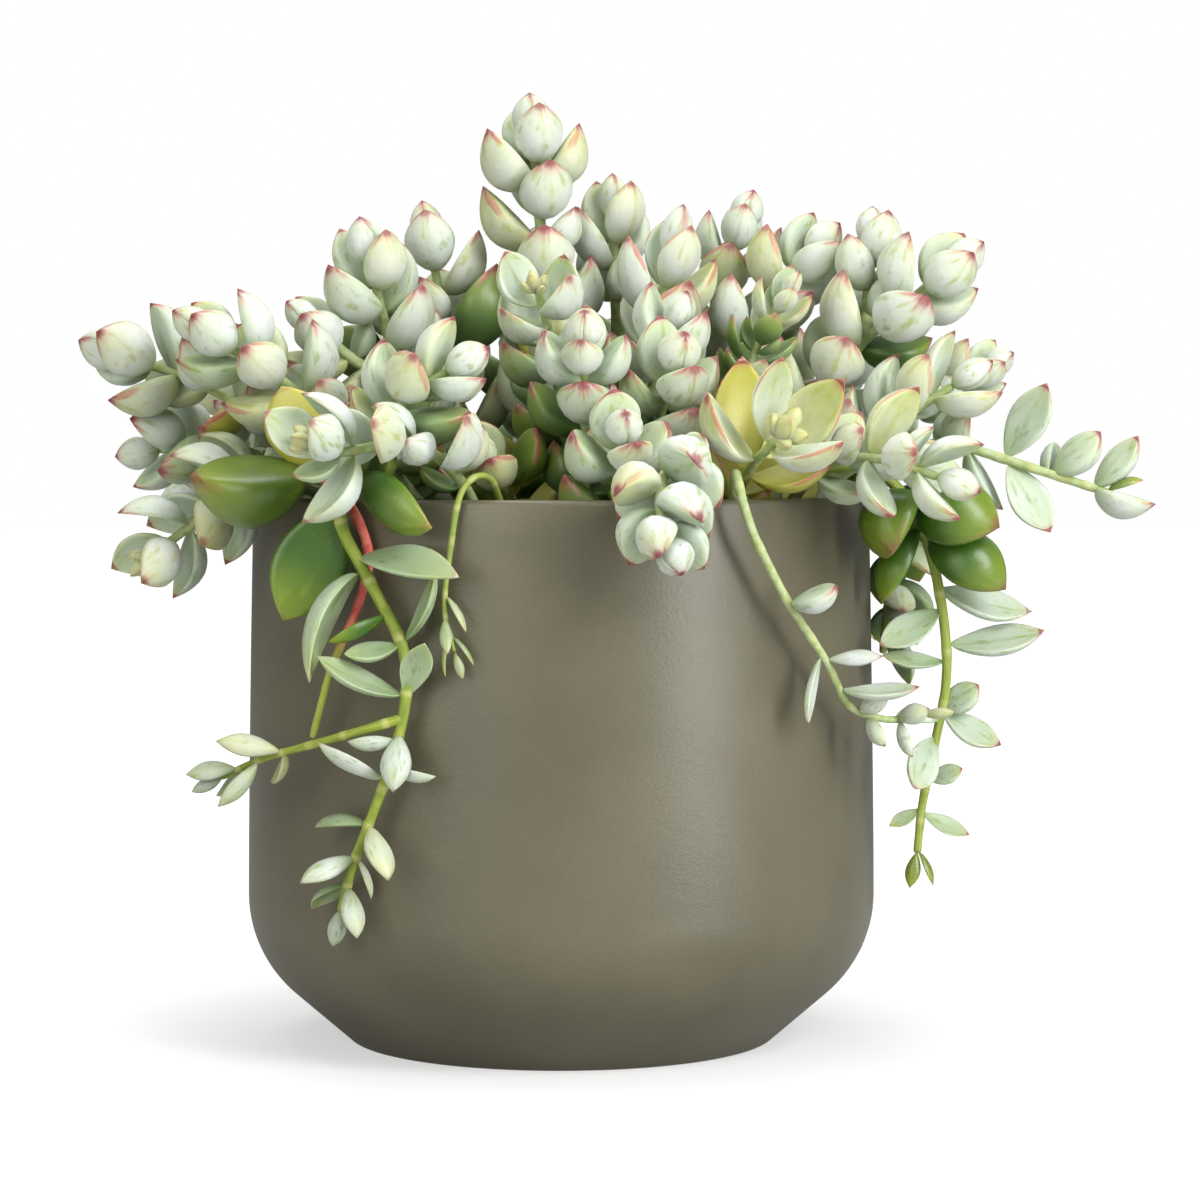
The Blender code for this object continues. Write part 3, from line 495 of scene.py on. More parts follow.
# %% Stems of the crown
CROWN = {
    "spike": Growth(
        (2, 6), [(-1, 5, 185), (-5, 2, 222), (-8, -2, 258)], leaf=23, pairs=7, gap=0.9, slim=0.8,
        spread=48, thick=1.2),
    "front_rosette": Growth(
        (4, -16), [(0, -22, 182), (-3, -33, 202), (-6, -44, 213)], leaf=20, gap=0.95, pairs=4,
        turn=45, slim=0.8),
    "crown_right": Growth(
        (18, -6), [(23, -7, 190), (31, -9, 223)], leaf=26, turn=20, slim=0.62, spread=56),
    "crown_shelf": Growth((20, -24), [(23, -33, 178), (31, -43, 202)], leaf=22, turn=60),
    "crown_back": Growth(
        (14, 20), [(16, 17, 190), (15, 11, 236)], leaf=23, turn=30, slim=0.68, spread=50),
    "right_peak": Growth((28, 26), [(40, 22, 196), (52, 14, 233)], leaf=20, slim=0.7, spread=54),
    "right_tuft": Growth((34, 6), [(46, 5, 190), (61, 2, 214), (71, 0, 225)], leaf=22, turn=40),
    "bud_sprig": Growth(
        (38, -14), [(47, -24, 180), (57, -33, 202), (62, -39, 211)], leaf=15, turn=10, slim=0.56,
        spread=50, thick=0.7),
}
print(len(CROWN), "stems stand in the crown")

# %% Stems at the front
FRONT = {
    "front_left": Growth(
        (-34, -42), [(-45, -60, 164), (-46, -70, 175), (-39, -77, 184), (-29, -81, 190)], leaf=21,
        gap=0.95, pairs=4, turn=30, slim=0.7),
    "white_rosette": Growth(
        (-20, -60), [(-30, -77, 166), (-44, -88, 171), (-57, -95, 168), (-63, -101, 171)], leaf=23,
        gap=0.9, turn=50, slim=0.68),
    "front_bud": Growth(
        (7, -45), [(7, -55, 170), (7, -64, 186), (7, -72, 197)], leaf=19, gap=0.95, pairs=4,
        slim=0.78),
    "front_crest": Growth((23, -40), [(27, -50, 176), (31, -62, 191)], leaf=23, turn=30, slim=0.78),
    "front_skirt": Growth((15, -60), [(16, -74, 163), (17, -85, 172)], leaf=20, turn=20, slim=0.82),
    "front_nook": Growth((-12, -38), [(-14, -50, 158), (-19, -62, 166)], leaf=20, turn=15),
    "front_drop": Growth(
        (34, -62), [(33, -78, 164), (29, -93, 165), (26, -105, 156), (29, -111, 146)], leaf=17,
        gap=0.9, pairs=5, turn=30, slim=0.86, lift=0.1),
    "sword_rosette": Growth(
        (46, -42), [(50, -57, 161), (55, -71, 169), (59, -80, 173)], leaf=32, turn=35, slim=0.54,
        gap=0.75, lift=0.4),
}
print(len(FRONT), "stems lean over the rim at the front")

# %% Stems at the left
LEFT = {
    "left_arm": Growth(
        (-52, -12), [(-70, -17, 166), (-97, -23, 186), (-121, -27, 195)], leaf=23, pairs=4,
        turn=30, lift=0.15),
    "left_crest": Growth(
        (-44, -30), [(-58, -42, 172), (-77, -50, 189), (-94, -55, 200)], leaf=21, pairs=4, gap=0.95,
        turn=10),
    "left_tuft": Growth(
        (-36, -8), [(-43, -14, 176), (-49, -21, 203), (-53, -26, 221)], leaf=23, pairs=4, turn=45,
        branches=((36, Growth(
            None, [(-58, -22, 194), (-68, -27, 203)], leaf=21, pairs=2, turn=20)),)),
    "left_peak": Growth(
        (-24, 12), [(-30, 13, 185), (-38, 11, 228)], leaf=22,
        solos=((32, (0.45, -0.3, 1), 29, 0.75),)),
    "left_low": Growth(
        (-60, -27), [(-75, -34, 162), (-87, -40, 160), (-99, -46, 150), (-112, -51, 140)], leaf=21,
        pairs=4, turn=20, lift=0, slim=0.7),
    "left_mid": Growth(
        (-65, -4), [(-82, -8, 165), (-100, -12, 171), (-114, -15, 169)], leaf=22, turn=70, lift=0.1),
    "left_old": Growth(
        (-52, -46), [(-60, -59, 158), (-66, -68, 164)], leaf=24, pairs=0,
        solos=(
            (1, (-1, -0.3, 0.02), 32, 0.86, (0.1, -0.3, 1)),
            (6, (-0.75, -0.1, 0.55), 21, 0.62),
            (1, (-0.35, -0.15, 0.9), 23, 0.8),
            (0, (0.45, -0.25, 0.85), 22, 0.66),
            (9, (-0.6, 0.3, 0.7), 21, 0.62),
        ),
        branches=((5, Growth(
            None,
            [(-57, -73, 157), (-50, -77, 142), (-53, -78, 128), (-61, -77, 110), (-66, -73, 92)],
            leaf=10, pairs=0, thick=0.75)),)),
    "left_trail": Growth(
        (-40, -58),
        [(-47, -70, 164), (-55, -77, 161), (-58, -79, 150), (-49, -83, 132), (-41, -86, 118),
            (-40, -87, 103), (-46, -85, 80), (-55, -81, 58), (-58, -79, 46)], leaf=18,
        gap=1.35, turn=60, slim=0.5, lift=0, curl=-0.12, thick=1.05,
        solos=(
            (118, (-0.42, -0.1, -0.88), 33, 0.6, (0.2, -0.9, 0.2)),
            (127, (0.7, -0.62, -0.35), 32, 0.52, (0.1, 0.8, 0.5), -0.12),
            (131, (0.15, -0.85, -0.05), 19, 0.72),
            (102, (0.66, -0.5, 0.56), 35, 0.46, (-0.35, -0.35, 0.87), -0.62),
            (98, (-0.58, -0.34, -0.8), 32, 0.5, (0.75, -0.25, -0.5), 0.2),
            (76, (0.44, -0.3, 0.85), 22, 0.4, (-0.8, -0.3, 0.4), 0.05),
            (61, (0.24, -0.3, 0.93), 20, 0.44, (0.2, -0.9, 0.2), 0.05),
            (85, (-0.88, -0.34, -0.36), 17, 0.42, (0.1, 0.5, 0.8)),
            (76, (-0.93, -0.35, 0.05), 15, 0.54, (-0.2, -0.6, 0.8)),
            (62, (-0.76, -0.32, 0.6), 25, 0.44, (0.4, -0.4, 0.8), -0.06),
            (50, (-0.92, -0.34, 0.2), 13, 0.52, (0.2, 0.6, 0.8)),
            (52, (-0.08, -0.42, -0.92), 16, 0.52, (0, 0.9, -0.4)),
            (39, (-0.78, -0.28, 0.56), 20, 0.44, (0.5, 0.4, 0.8), -0.1),
            (42, (0.86, -0.4, 0.1), 13, 0.5, (-0.2, 0.5, 0.9)),
        ),
        branches=((56, Growth(
            None, [(-56, -87, 94), (-79, -75, 87), (-91, -69, 81)], leaf=17, gap=1.2,
            turn=20, slim=0.42, spread=50, lift=0.1, thick=0.7)),)),
    "left_sprig": Growth(
        (-14, -66),
        [(-18, -79, 162), (-25, -86, 160), (-28, -87, 146), (-30, -88, 128), (-27, -89, 116)],
        leaf=12, gap=1.25, turn=20, slim=0.34, spread=50, lift=0, thick=0.6),
}
print(len(LEFT), "stems grow to the left")

# %% Stems at the right
RIGHT = {
    "right_front": Growth(
        (60, -40), [(71, -55, 164), (86, -70, 167), (101, -79, 162)], leaf=22, gap=0.95, pairs=4,
        turn=20, slim=0.64),
    "right_crest": Growth(
        (52, -6), [(65, -11, 172), (80, -16, 194), (96, -20, 210), (108, -23, 219)], leaf=23,
        gap=0.95, pairs=5, turn=15,
        branches=((29, Growth(None, [(87, -13, 212), (88, -9, 227)], leaf=21, pairs=2, turn=30)),)),
    "right_mid": Growth(
        (64, -24), [(80, -30, 168), (97, -34, 179), (109, -37, 187)], leaf=23, turn=50, slim=0.62),
    "right_arm": Growth(
        (66, -10),
        [(84, -12, 165), (104, -16, 171), (122, -20, 168), (139, -23, 162), (154, -26, 157)],
        leaf=18, pairs=0, gap=1.2,
        solos=(
            (31, (0.45, -0.15, 0.9), 23, 0.56, (-0.6, -0.8, 0.1)),
            (30, (0.7, -0.3, -0.65), 24, 0.54, (0.2, -0.9, 0.4)),
            (17, (0.7, -0.2, 0.7), 17, 0.72, (-0.5, -0.6, 0.6)),
            (18, (0.35, 0.8, 0.45), 15, 0.6),
            (5, (0.6, -0.15, 0.78), 18, 0.62, (-0.6, -0.5, 0.5)),
            (5, (0.92, -0.25, -0.34), 17, 0.72, (0.3, 0, 0.9), 0.1),
            (1, (0.95, -0.2, 0.1), 10, 0.56),
            (46, (0.2, -0.85, 0.45), 19, 0.66),
            (46, (0.1, 0.9, 0.4), 18, 0.66),
            (42, (0.55, 0.2, -0.8), 20, 0.62),
            (58, (0.4, -0.55, -0.7), 20, 0.66),
            (58, (0.1, 0.3, 0.95), 20, 0.66),
            (71, (0.1, -0.9, 0.4), 19, 0.66),
        )),
    "right_sprig": Growth(
        (64, 8), [(86, 3, 170), (108, -3, 184), (121, -7, 192)], leaf=15, turn=20, thick=0.7),
    "right_trail": Growth(
        (46, -26),
        [(66, -32, 161), (84, -36, 165), (96, -37, 156), (103, -35, 141), (107, -33, 122),
            (108, -32, 105), (105, -31, 88), (101, -30, 68), (100, -30, 56)], leaf=18, pairs=0,
        gap=1.6,
        solos=(
            (103, (-0.15, -0.75, -0.6), 23, 0.9),
            (99, (0.8, -0.45, -0.2), 25, 0.86),
            (90, (0.9, -0.22, -0.3), 26, 0.78),
            (94, (-0.62, -0.2, -0.76), 24, 0.62),
            (76, (0.94, 0.08, -0.2), 26, 0.5, (0, -0.6, 0.8)),
            (70, (-0.86, -0.3, -0.45), 20, 0.52, (0.3, -0.6, 0.7)),
            (60, (0.92, -0.2, 0.34), 26, 0.5, (-0.3, -0.5, 0.8)),
            (55, (-0.95, -0.25, 0.15), 18, 0.42, (0.2, -0.5, 0.8)),
            (41, (0.86, -0.25, -0.45), 18, 0.56, (0.3, -0.7, 0.6)),
            (41, (0.75, -0.3, 0.6), 12, 0.76, (-0.3, -0.8, 0.5)),
            (38, (-0.9, -0.35, 0.05), 13, 0.64),
            (34, (-0.3, -0.45, -0.85), 20, 0.56, (0.5, -0.8, 0.2)),
            (21, (0.85, -0.35, 0.35), 10, 0.62, (-0.2, -0.8, 0.5)),
            (13, (-0.82, -0.25, -0.4), 10, 0.46, (0.2, -0.7, 0.7)),
            (12, (0.9, -0.2, -0.38), 14, 0.46, (0.3, -0.7, 0.7)),
            (1, (-0.2, -0.1, -1), 10, 0.44),
            (1, (0.35, -0.15, -0.95), 10, 0.46),
        )),
    "front_trail": Growth(
        (47, -60),
        [(47, -73, 163), (48, -82, 159), (51, -83, 148), (62, -76, 127), (73, -66, 111),
            (79, -59, 99), (92, -51, 95), (100, -46, 97)], leaf=16, pairs=0, gap=1.6, thick=0.8,
        solos=(
            (64, (0.85, -0.45, 0.4), 14, 0.74, (-0.3, -0.3, 0.9)),
            (45, (-0.15, -0.35, -0.95), 19, 0.38, (0.9, -0.2, 0)),
            (43, (0.95, -0.3, 0.05), 15, 0.34),
            (33, (0.95, -0.3, 0.1), 21, 0.44, (0, -0.3, 0.9)),
            (22, (0.6, -0.5, 0.6), 11, 0.6),
            (19, (0.45, -0.5, -0.7), 10, 0.62),
            (9, (0.8, -0.5, 0.35), 10, 0.6),
            (8, (0.3, -0.45, -0.8), 11, 0.56),
            (1, (0.95, -0.1, 0.1), 9, 0.5),
        )),
    "right_shade": Growth(
        (62, 22), [(79, 25, 163), (91, 23, 160), (97, 16, 146), (95, 9, 126), (93, 5, 110)],
        leaf=19, gap=1.1, turn=30, slim=0.64, lift=0),
}
print(len(RIGHT), "stems grow to the right")

# %% Stems at the back
BACK = {
    "back_left_arm": Growth(
        (-52, 18), [(-68, 24, 170), (-89, 31, 186), (-104, 36, 192)], leaf=22, turn=20),
    "back_left_tuft": Growth((-35, 31), [(-43, 42, 180), (-51, 54, 201)], leaf=21, turn=45),
    "back_crown": Growth((-8, 30), [(-10, 38, 190), (-12, 46, 216)], leaf=21, turn=10),
    "back_tuft": Growth((12, 40), [(15, 52, 184), (18, 65, 204)], leaf=21, turn=30),
    "back_right_tuft": Growth((38, 38), [(47, 48, 180), (56, 58, 201)], leaf=21, turn=60),
    "back_right_arm": Growth(
        (50, 20), [(67, 27, 175), (86, 33, 193), (98, 37, 201)], leaf=21, turn=10),
    "back_left_low": Growth(
        (-58, 40), [(-72, 50, 164), (-88, 60, 166), (-100, 68, 159)], leaf=20, turn=30, lift=0.1),
    "back_left_fall": Growth(
        (-38, 54), [(-46, 69, 166), (-56, 84, 170), (-62, 94, 167)], leaf=20, turn=50),
    "back_fall": Growth(
        (-10, 62), [(-12, 78, 168), (-14, 94, 172), (-14, 104, 169)], leaf=20, turn=20),
    "back_right_fall": Growth(
        (20, 62), [(23, 78, 166), (27, 94, 168), (31, 104, 161)], leaf=20, turn=70),
    "back_right_low": Growth(
        (45, 54), [(55, 67, 166), (66, 79, 170), (75, 88, 166)], leaf=20, turn=35),
    "back_trail": Growth(
        (-26, 60),
        [(-30, 74, 163), (-35, 84, 161), (-38, 88, 149), (-35, 88, 122), (-27, 91, 92),
            (-25, 91, 70)], leaf=19, pairs=4, gap=1.4, turn=30, slim=0.48, lift=0),
    "back_right_trail": Growth(
        (62, 38), [(73, 49, 163), (82, 57, 159), (85, 59, 145), (81, 60, 118), (79, 62, 98)],
        leaf=19, gap=1.35, turn=30, slim=0.48, lift=0),
    "back_left_side": Growth(
        (-66, 14), [(-83, 20, 163), (-97, 26, 162), (-108, 30, 153)], leaf=19, turn=10, lift=0.1),
}
STEMS = {**CROWN, **FRONT, **LEFT, **RIGHT, **BACK}
print(len(STEMS), "stems in all")

# %% Lines
ROOT_DEPTH = 0.026
STEM_RADIUS = 0.0021
STEM_TIP_SHARE = 0.6
STEM_SAG = 0.0006  # how far a packed stem's straight runs may cut its bends
SAMPLE_STEP = 0.002
COLLAR = 0.0015  # how far a stem comes straight out of the soil
SPAN_POINTS = 24  # between two given points


def run_along(points):
    """The distance along a line at each of its points."""
    return np.concatenate([[0], np.cumsum(np.linalg.norm(np.diff(points, axis=0), axis=1))])


def points_at(run, runs, line):
    """The points at a distance along a line whose own points lie at the given runs."""
    return np.array([np.interp(run, runs, axis) for axis in line.T]).T


def smooth_line(points, before, step):
    """Points about one step apart along a smooth curve through the given points."""
    before = 2 * points[0] - points[1] if before is None else before
    knots = np.array([before, *points, 2 * points[-1] - points[-2]])
    t = np.linspace(0, 1, SPAN_POINTS + 1)[:-1, None]
    spans = []
    for a, b, c, d in zip(knots, knots[1:], knots[2:], knots[3:]):
        spans.append(0.5 * (2 * b + (c - a) * t + (2 * a - 5 * b + 4 * c - d) * t**2
                            + (3 * b - a - 3 * c + d) * t**3))
    fine = np.vstack([*spans, knots[-2]])
    run = run_along(fine)
    even = np.linspace(0, run[-1], max(3, round(run[-1] / step) + 1))
    return points_at(even, run, fine)


def without_sag(line, sag):
    """The fewest of the line's points that keep every other within the sag of the straight runs."""
    start, end = line[0], line[-1]
    along = unit(end - start)
    off = line - start
    off = np.linalg.norm(off - np.outer(off @ along, along), axis=1)
    worst = int(np.argmax(off))
    if off[worst] < sag:
        return np.array([start, end])
    return np.vstack([without_sag(line[:worst + 1], sag)[:-1], without_sag(line[worst:], sag)])


def unit(vector):
    return vector / np.linalg.norm(vector)


print("lines are smoothed in steps of", SAMPLE_STEP / MM, "mm")


# %% A leaf's outline
def bulge(t, root, end, tip):
    """A curve along a leaf, from 0 over 1 to 0. A higher root or tip narrows that end."""
    def height(share):
        return share**root * (1 - share**end) ** tip
    return height(np.clip(t, 0, 1)) / height(np.linspace(0, 1, 101)).max()


def width_share(t):
    """A leaf's width along its length, from its root at 0 to its tip at 1."""
    return bulge(t, 0.7, 2.2, 0.75)


def depth_share(t):
    """A leaf's depth along its length."""
    return bulge(t, 0.5, 2.0, 0.75)


print("a leaf is widest", round(float(np.argmax(width_share(np.linspace(0, 1, 101)))) / 100, 2),
      "of its length up")

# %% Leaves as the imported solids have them
ROOT_STEP = 0.0003  # how far from the stem's line a leaf begins
THIN_DEPTH, PLUMP_DEPTH = 0.25, 0.36  # depth as a share of the width, and what breadth adds
INNER_SHARE = 0.25  # of the depth, on the inner side


class Leaf:
    """One leaf: where it grows, which way it points and faces, and its size."""

    ROWS = np.array([0.12, 0.25, 0.4, 0.55, 0.7, 0.83, 0.94])
    ANGLES = np.linspace(0, 2 * math.pi, 9)[:-1]

    def __init__(self, root, along, inner, length, slim, curl):
        self.along = unit(along)
        self.root = root + self.along * ROOT_STEP
        self.inner = unit(inner - self.along * (inner @ self.along))
        self.across = np.cross(self.inner, self.along)
        self.length = length
        self.width = length * slim
        self.depth = self.width * (THIN_DEPTH + PLUMP_DEPTH * slim)
        self.curl = curl
        rows, angles = np.meshgrid(self.ROWS, self.ANGLES, indexing="ij")
        skin = self.surface(rows.ravel(), np.cos(angles.ravel()), np.sin(angles.ravel()))
        self.skin = np.vstack([skin, self.surface(np.ones(1), np.zeros(1), np.zeros(1))])
        self.skin_rows = np.append(rows.ravel(), 1.0)
        self.centre = self.root + self.along * length / 2

    def surface(self, t, side, rise):
        """Points at shares t of the length. side and rise are the place round the section."""
        side = side * self.width / 2 * width_share(t)
        rise = rise * self.depth * depth_share(t)
        rise = np.where(rise > 0, rise * INNER_SHARE, rise) + self.curl * self.length * t**2
        return (self.root + np.outer(t * self.length, self.along)
                + np.outer(side, self.across) + np.outer(rise, self.inner))

    def holds(self, points, margin):
        """Which of the points lie inside the leaf grown by a margin."""
        local = points - self.root
        t = local @ self.along / self.length
        side = local @ self.across
        rise = local @ self.inner - self.curl * self.length * t**2
        depth = self.depth * depth_share(t) * np.where(rise > 0, INNER_SHARE, 1)
        wide = self.width / 2 * width_share(t) + margin
        deep = depth + margin
        ends = margin / self.length
        with np.errstate(divide="ignore", invalid="ignore"):
            inside = (side / wide) ** 2 + (rise / deep) ** 2 < 1
        return inside & (t > -ends) & (t < 1 + ends)


print("a usual leaf's depth is", round(THIN_DEPTH + Growth.slim * PLUMP_DEPTH, 2), "of its width")


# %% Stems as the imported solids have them
class Stem:
    """One stem or branch: its bends, its thickness, and the frame along it."""

    def __init__(self, name, growth, bends):
        self.name = name
        self.growth = growth
        self.bends = bends
        self.radius = STEM_RADIUS * growth.thick
        self.bend_run = run_along(bends)
        self.length = self.bend_run[-1]
        self.run = np.linspace(0, self.length, max(3, round(self.length / SAMPLE_STEP)))
        self.line = self.point_at(self.run)
        self.tangents = np.gradient(self.line, axis=0)
        self.tangents /= np.linalg.norm(self.tangents, axis=1)[:, None]
        side = np.array([1.0, 0.0, 0.0])
        self.sides = []
        for tangent in self.tangents:
            side = unit(side - tangent * (side @ tangent))
            self.sides.append(side)

    def point_at(self, run):
        return points_at(run, self.bend_run, self.bends)

    def from_tip(self, distance):
        """The point, direction and sideways vector at a distance back from the tip."""
        run = max(self.length - distance, 0)
        i = int(np.argmin(np.abs(self.run - run)))
        return self.point_at(run), self.tangents[i], self.sides[i]

    def radius_at(self, run):
        return self.radius * (1 + (STEM_TIP_SHARE - 1) * run / self.length)


def plan_stems():
    """Every stem with its branches after it."""
    stems = []
    for name, growth in STEMS.items():
        x, y = (value * MM for value in growth.foot)
        top = soil_height(math.hypot(x, y))
        through = [np.array(point) * MM for point in growth.through]
        foot = np.array([x, y, top + COLLAR])
        line = smooth_line([foot, *through], foot - (0, 0, 2 * ROOT_DEPTH), SAMPLE_STEP)
        bends = np.vstack([[x, y, top - ROOT_DEPTH], without_sag(line, STEM_SAG)])
        stem = Stem(name, growth, bends)
        stems.append(stem)
        for distance, twig in growth.branches:
            fork = stem.from_tip(distance * MM)[0]
            line = smooth_line([fork, *(np.array(p) * MM for p in twig.through)], None, SAMPLE_STEP)
            stems.append(Stem(name, twig, without_sag(line, STEM_SAG)))
    return stems


stems = plan_stems()
print(len(stems), "stems and branches,", round(sum(stem.length for stem in stems), 2), "m")

# %% Room in the pot
POT_GAP = 0.0008


def pot_outer_radius(z):
    """The pot's outer radius at a height, for keeping leaves off it."""
    low = SHOULDER_TOP - SHOULDER_DROP
    return np.where(z > low, POT_RADIUS, SHOULDER_END - (low - z) * math.tan(CHAMFER_ANGLE))


def in_pot(points):
    """Which of the points are in the pot's wall, in the soil or below the ground."""
    radius = np.hypot(points[:, 0], points[:, 1])
    z = points[:, 2]
    inner = POT_RADIUS - MOUTH_TAPER - WALL - POT_GAP
    wall = (z < POT_HEIGHT + POT_GAP) & (radius > inner)
    wall &= radius < pot_outer_radius(z) + POT_GAP
    return wall | ((radius <= inner) & (z < soil_height(radius) + POT_GAP)) | (z < POT_GAP)


print("leaves stay", POT_GAP / MM, "mm off the pot")

# %% Room among the leaves
LEAF_GAP = 0.0005
OWN_OVERLAP = 0.0006  # how far leaves of one stem may reach into each other
MOST_LEAVES = 2000
ROOTED_SHARE = 0.35  # of a leaf, where its own stem and its neighbours may touch it
REACH = 1.3  # leaf lengths from the root, past which nothing of a stem can meet the leaf

# How a leaf that would meet another is moved: its opening, its turn and its size
MOVES = [(0, 0, 1), (-9, 0, 1), (9, 0, 1), (0, 14, 1), (0, -14, 1), (-16, 0, 0.95),
         (16, 10, 0.95), (10, -20, 0.92), (-10, 22, 0.9), (0, 0, 0.8), (-24, 0, 0.85),
         (22, 0, 0.85), (-12, -30, 0.82), (12, 32, 0.82), (0, 0, 0.66), (-20, 18, 0.68),
         (20, -18, 0.68), (-34, 0, 0.7), (30, 24, 0.64), (-28, -36, 0.62)]


class Crown:
    """All the leaves, each placed clear of the pot, the stems and the leaves before it."""

    def __init__(self, stems):
        self.leaves = []
        self.centres = np.zeros((MOST_LEAVES, 3))
        self.lengths = np.zeros(MOST_LEAVES)
        self.stem_points = np.vstack([stem.line for stem in stems])
        self.stem_radii = np.concatenate([stem.radius_at(stem.run) for stem in stems])
        self.stem_owners = np.concatenate([[stem.name] * len(stem.line) for stem in stems])

    def clears_stems(self, leaf, owner):
        """Its own stem only counts past the leaf's lowest third, where it is rooted."""
        offsets = self.stem_points - leaf.root
        along = offsets @ leaf.along / leaf.length
        near = np.linalg.norm(offsets, axis=1) < REACH * leaf.length
        near &= (self.stem_owners != owner) | (along > ROOTED_SHARE)
        return not leaf.holds(self.stem_points[near], self.stem_radii[near] + LEAF_GAP).any()

    def clears_leaves(self, leaf, owner):
        count = len(self.leaves)
        apart = np.linalg.norm(self.centres[:count] - leaf.centre, axis=1)
        reach = (leaf.length + self.lengths[:count]) / 2 + LEAF_GAP
        for i in np.flatnonzero(apart <= reach):
            other = self.leaves[i]
            own = other.owner == owner
            margin = -OWN_OVERLAP if own else LEAF_GAP
            start = ROOTED_SHARE if own else 0
            if (other.holds(leaf.skin[leaf.skin_rows > start], margin).any()
                    or leaf.holds(other.skin[other.skin_rows > start], margin).any()):
                return False
        return True

    def place(self, owner, make, level):
        """Keeps the first way of making the leaf that is free."""
        for open_by, turn_by, scale in MOVES:
            leaf = make(open_by, turn_by, scale)
            if (not in_pot(leaf.skin).any() and self.clears_stems(leaf, owner)
                    and self.clears_leaves(leaf, owner)):
                self.centres[len(self.leaves)] = leaf.centre
                self.lengths[len(self.leaves)] = leaf.length
                leaf.owner = owner
                leaf.level = level
                self.leaves.append(leaf)
                return


crown = Crown(stems)
print(len(MOVES), "ways to fit a leaf in")


# %% The rule for a pair
def turned(vector, axis, degrees):
    """The vector turned about a unit axis."""
    angle = math.radians(degrees)
    return (vector * math.cos(angle) + np.cross(axis, vector) * math.sin(angle)
            + axis * (axis @ vector) * (1 - math.cos(angle)))


# How a pair's place, opening and size follow from its level
BUD_BACK, PAIR_STEP, STEP_GROWTH = 0.05, 0.24, 0.03  # in leaf lengths
BUD_CLOSED, OPENING_RATE = 0.8, 0.65
BUD_SMALLER, SIZE_RATE = 0.4, 0.8
OPENING_VARIES, TURN_VARIES = 5, 8  # in degrees, both ways
LENGTH_VARIES, SLIM_VARIES = 0.06, 0.07


def pair_distance(growth, level):
    """How far back from the stem's tip a pair sits. The bud is level 0, the youngest pair 1."""
    steps = BUD_BACK + PAIR_STEP * level + STEP_GROWTH * level**2
    return growth.leaf * MM * growth.gap * steps


def pair_leaf(stem, level, half_turn, draw):
    """The rule for one leaf of a pair, or for the bud, which is level 0."""
    growth = stem.growth
    point, tangent, side = stem.from_tip(pair_distance(growth, level))
    opening = growth.spread * (1 - BUD_CLOSED * math.exp(-OPENING_RATE * level))
    opening += draw.uniform(-OPENING_VARIES, OPENING_VARIES)
    turn = growth.turn + 90 * level + half_turn + draw.uniform(-TURN_VARIES, TURN_VARIES)
    size = 1 - BUD_SMALLER * math.exp(-SIZE_RATE * level)
    length = growth.leaf * MM * size * draw.uniform(1 - LENGTH_VARIES, 1 + LENGTH_VARIES)
    slim = growth.slim * draw.uniform(1 - SLIM_VARIES, 1 + SLIM_VARIES)
    if level == 0:
        opening = 0
    up = np.array([0.0, 0.0, growth.lift])

    def make(open_by, turn_by, scale):
        angle = math.radians(opening + open_by * min(level, 1))
        out = turned(side, tangent, turn + turn_by)
        along = tangent * math.cos(angle) + out * math.sin(angle) + up * math.sin(angle)
        inner = tangent * math.sin(angle) - out * math.cos(angle) + up
        return Leaf(point, along, inner, length * scale, slim, growth.curl * min(level, 1))

    return make


print("the oldest pairs open", max(growth.spread for growth in STEMS.values()), "degrees")

# %% The rule for a single leaf
SOLO_LIFT = 0.4


def solo_leaf(stem, distance, direction, length, slim, facing=None, curl=-0.06):
    """The rule for a single leaf: how far back from the tip it grows, which way and how long."""
    point, tangent, _ = stem.from_tip(distance * MM)
    aim = unit(np.array(direction, float))
    hinge = unit(np.cross(aim, tangent))
    inner = tangent + (0, 0, SOLO_LIFT) if facing is None else np.array(facing, float)

    def make(open_by, turn_by, scale):
        along = turned(turned(aim, hinge, open_by), tangent, turn_by / 2)
        return Leaf(point, along, inner, length * MM * scale, slim, curl)

    return make


print(sum(len(growth.solos) for growth in STEMS.values()), "leaves are placed one by one")

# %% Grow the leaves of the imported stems
draws = [random.Random(f"{stem.name} {stem.growth.through[-1]}") for stem in stems]
for stem in stems:
    for index, solo in enumerate(stem.growth.solos):
        crown.place(stem.name, solo_leaf(stem, *solo), -1 - index)
for level in range(1 + max(stem.growth.pairs for stem in stems)):
    for stem, draw in zip(stems, draws):
        if level <= stem.growth.pairs > 0:
            for half_turn in (0, 180)[:1 if level == 0 else 2]:
                crown.place(stem.name, pair_leaf(stem, level, half_turn, draw), level)
packed_leaves = len(crown.leaves)
print(packed_leaves, "leaves, as in the packed stems")

# %% [markdown]
# ## Older leaves
#
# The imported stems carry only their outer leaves. On the real plant the pairs go on down each stem
# to the soil, and they are what makes the inside of the crown look full. They follow from the
# same rule with further levels, and each stem draws them from a seed of its own. Side shoots grow
# between the pairs. Leaves at half levels, which stand an eighth turn off the pairs, take their
# place wherever a gap has room for them.

# %% Older leaves
OLDER_PAIRS = 6
BETWEEN_PAIRS = 10
FIRST_BETWEEN = 1.5
COMPACT_GAP = 1.1  # stems with wider gaps hang down and stay bare above
LOWEST_PAIR = 0.004  # above the stem's foot
older_draws = [random.Random(f"{stem.name} older {len(stem.bends)}") for stem in stems]


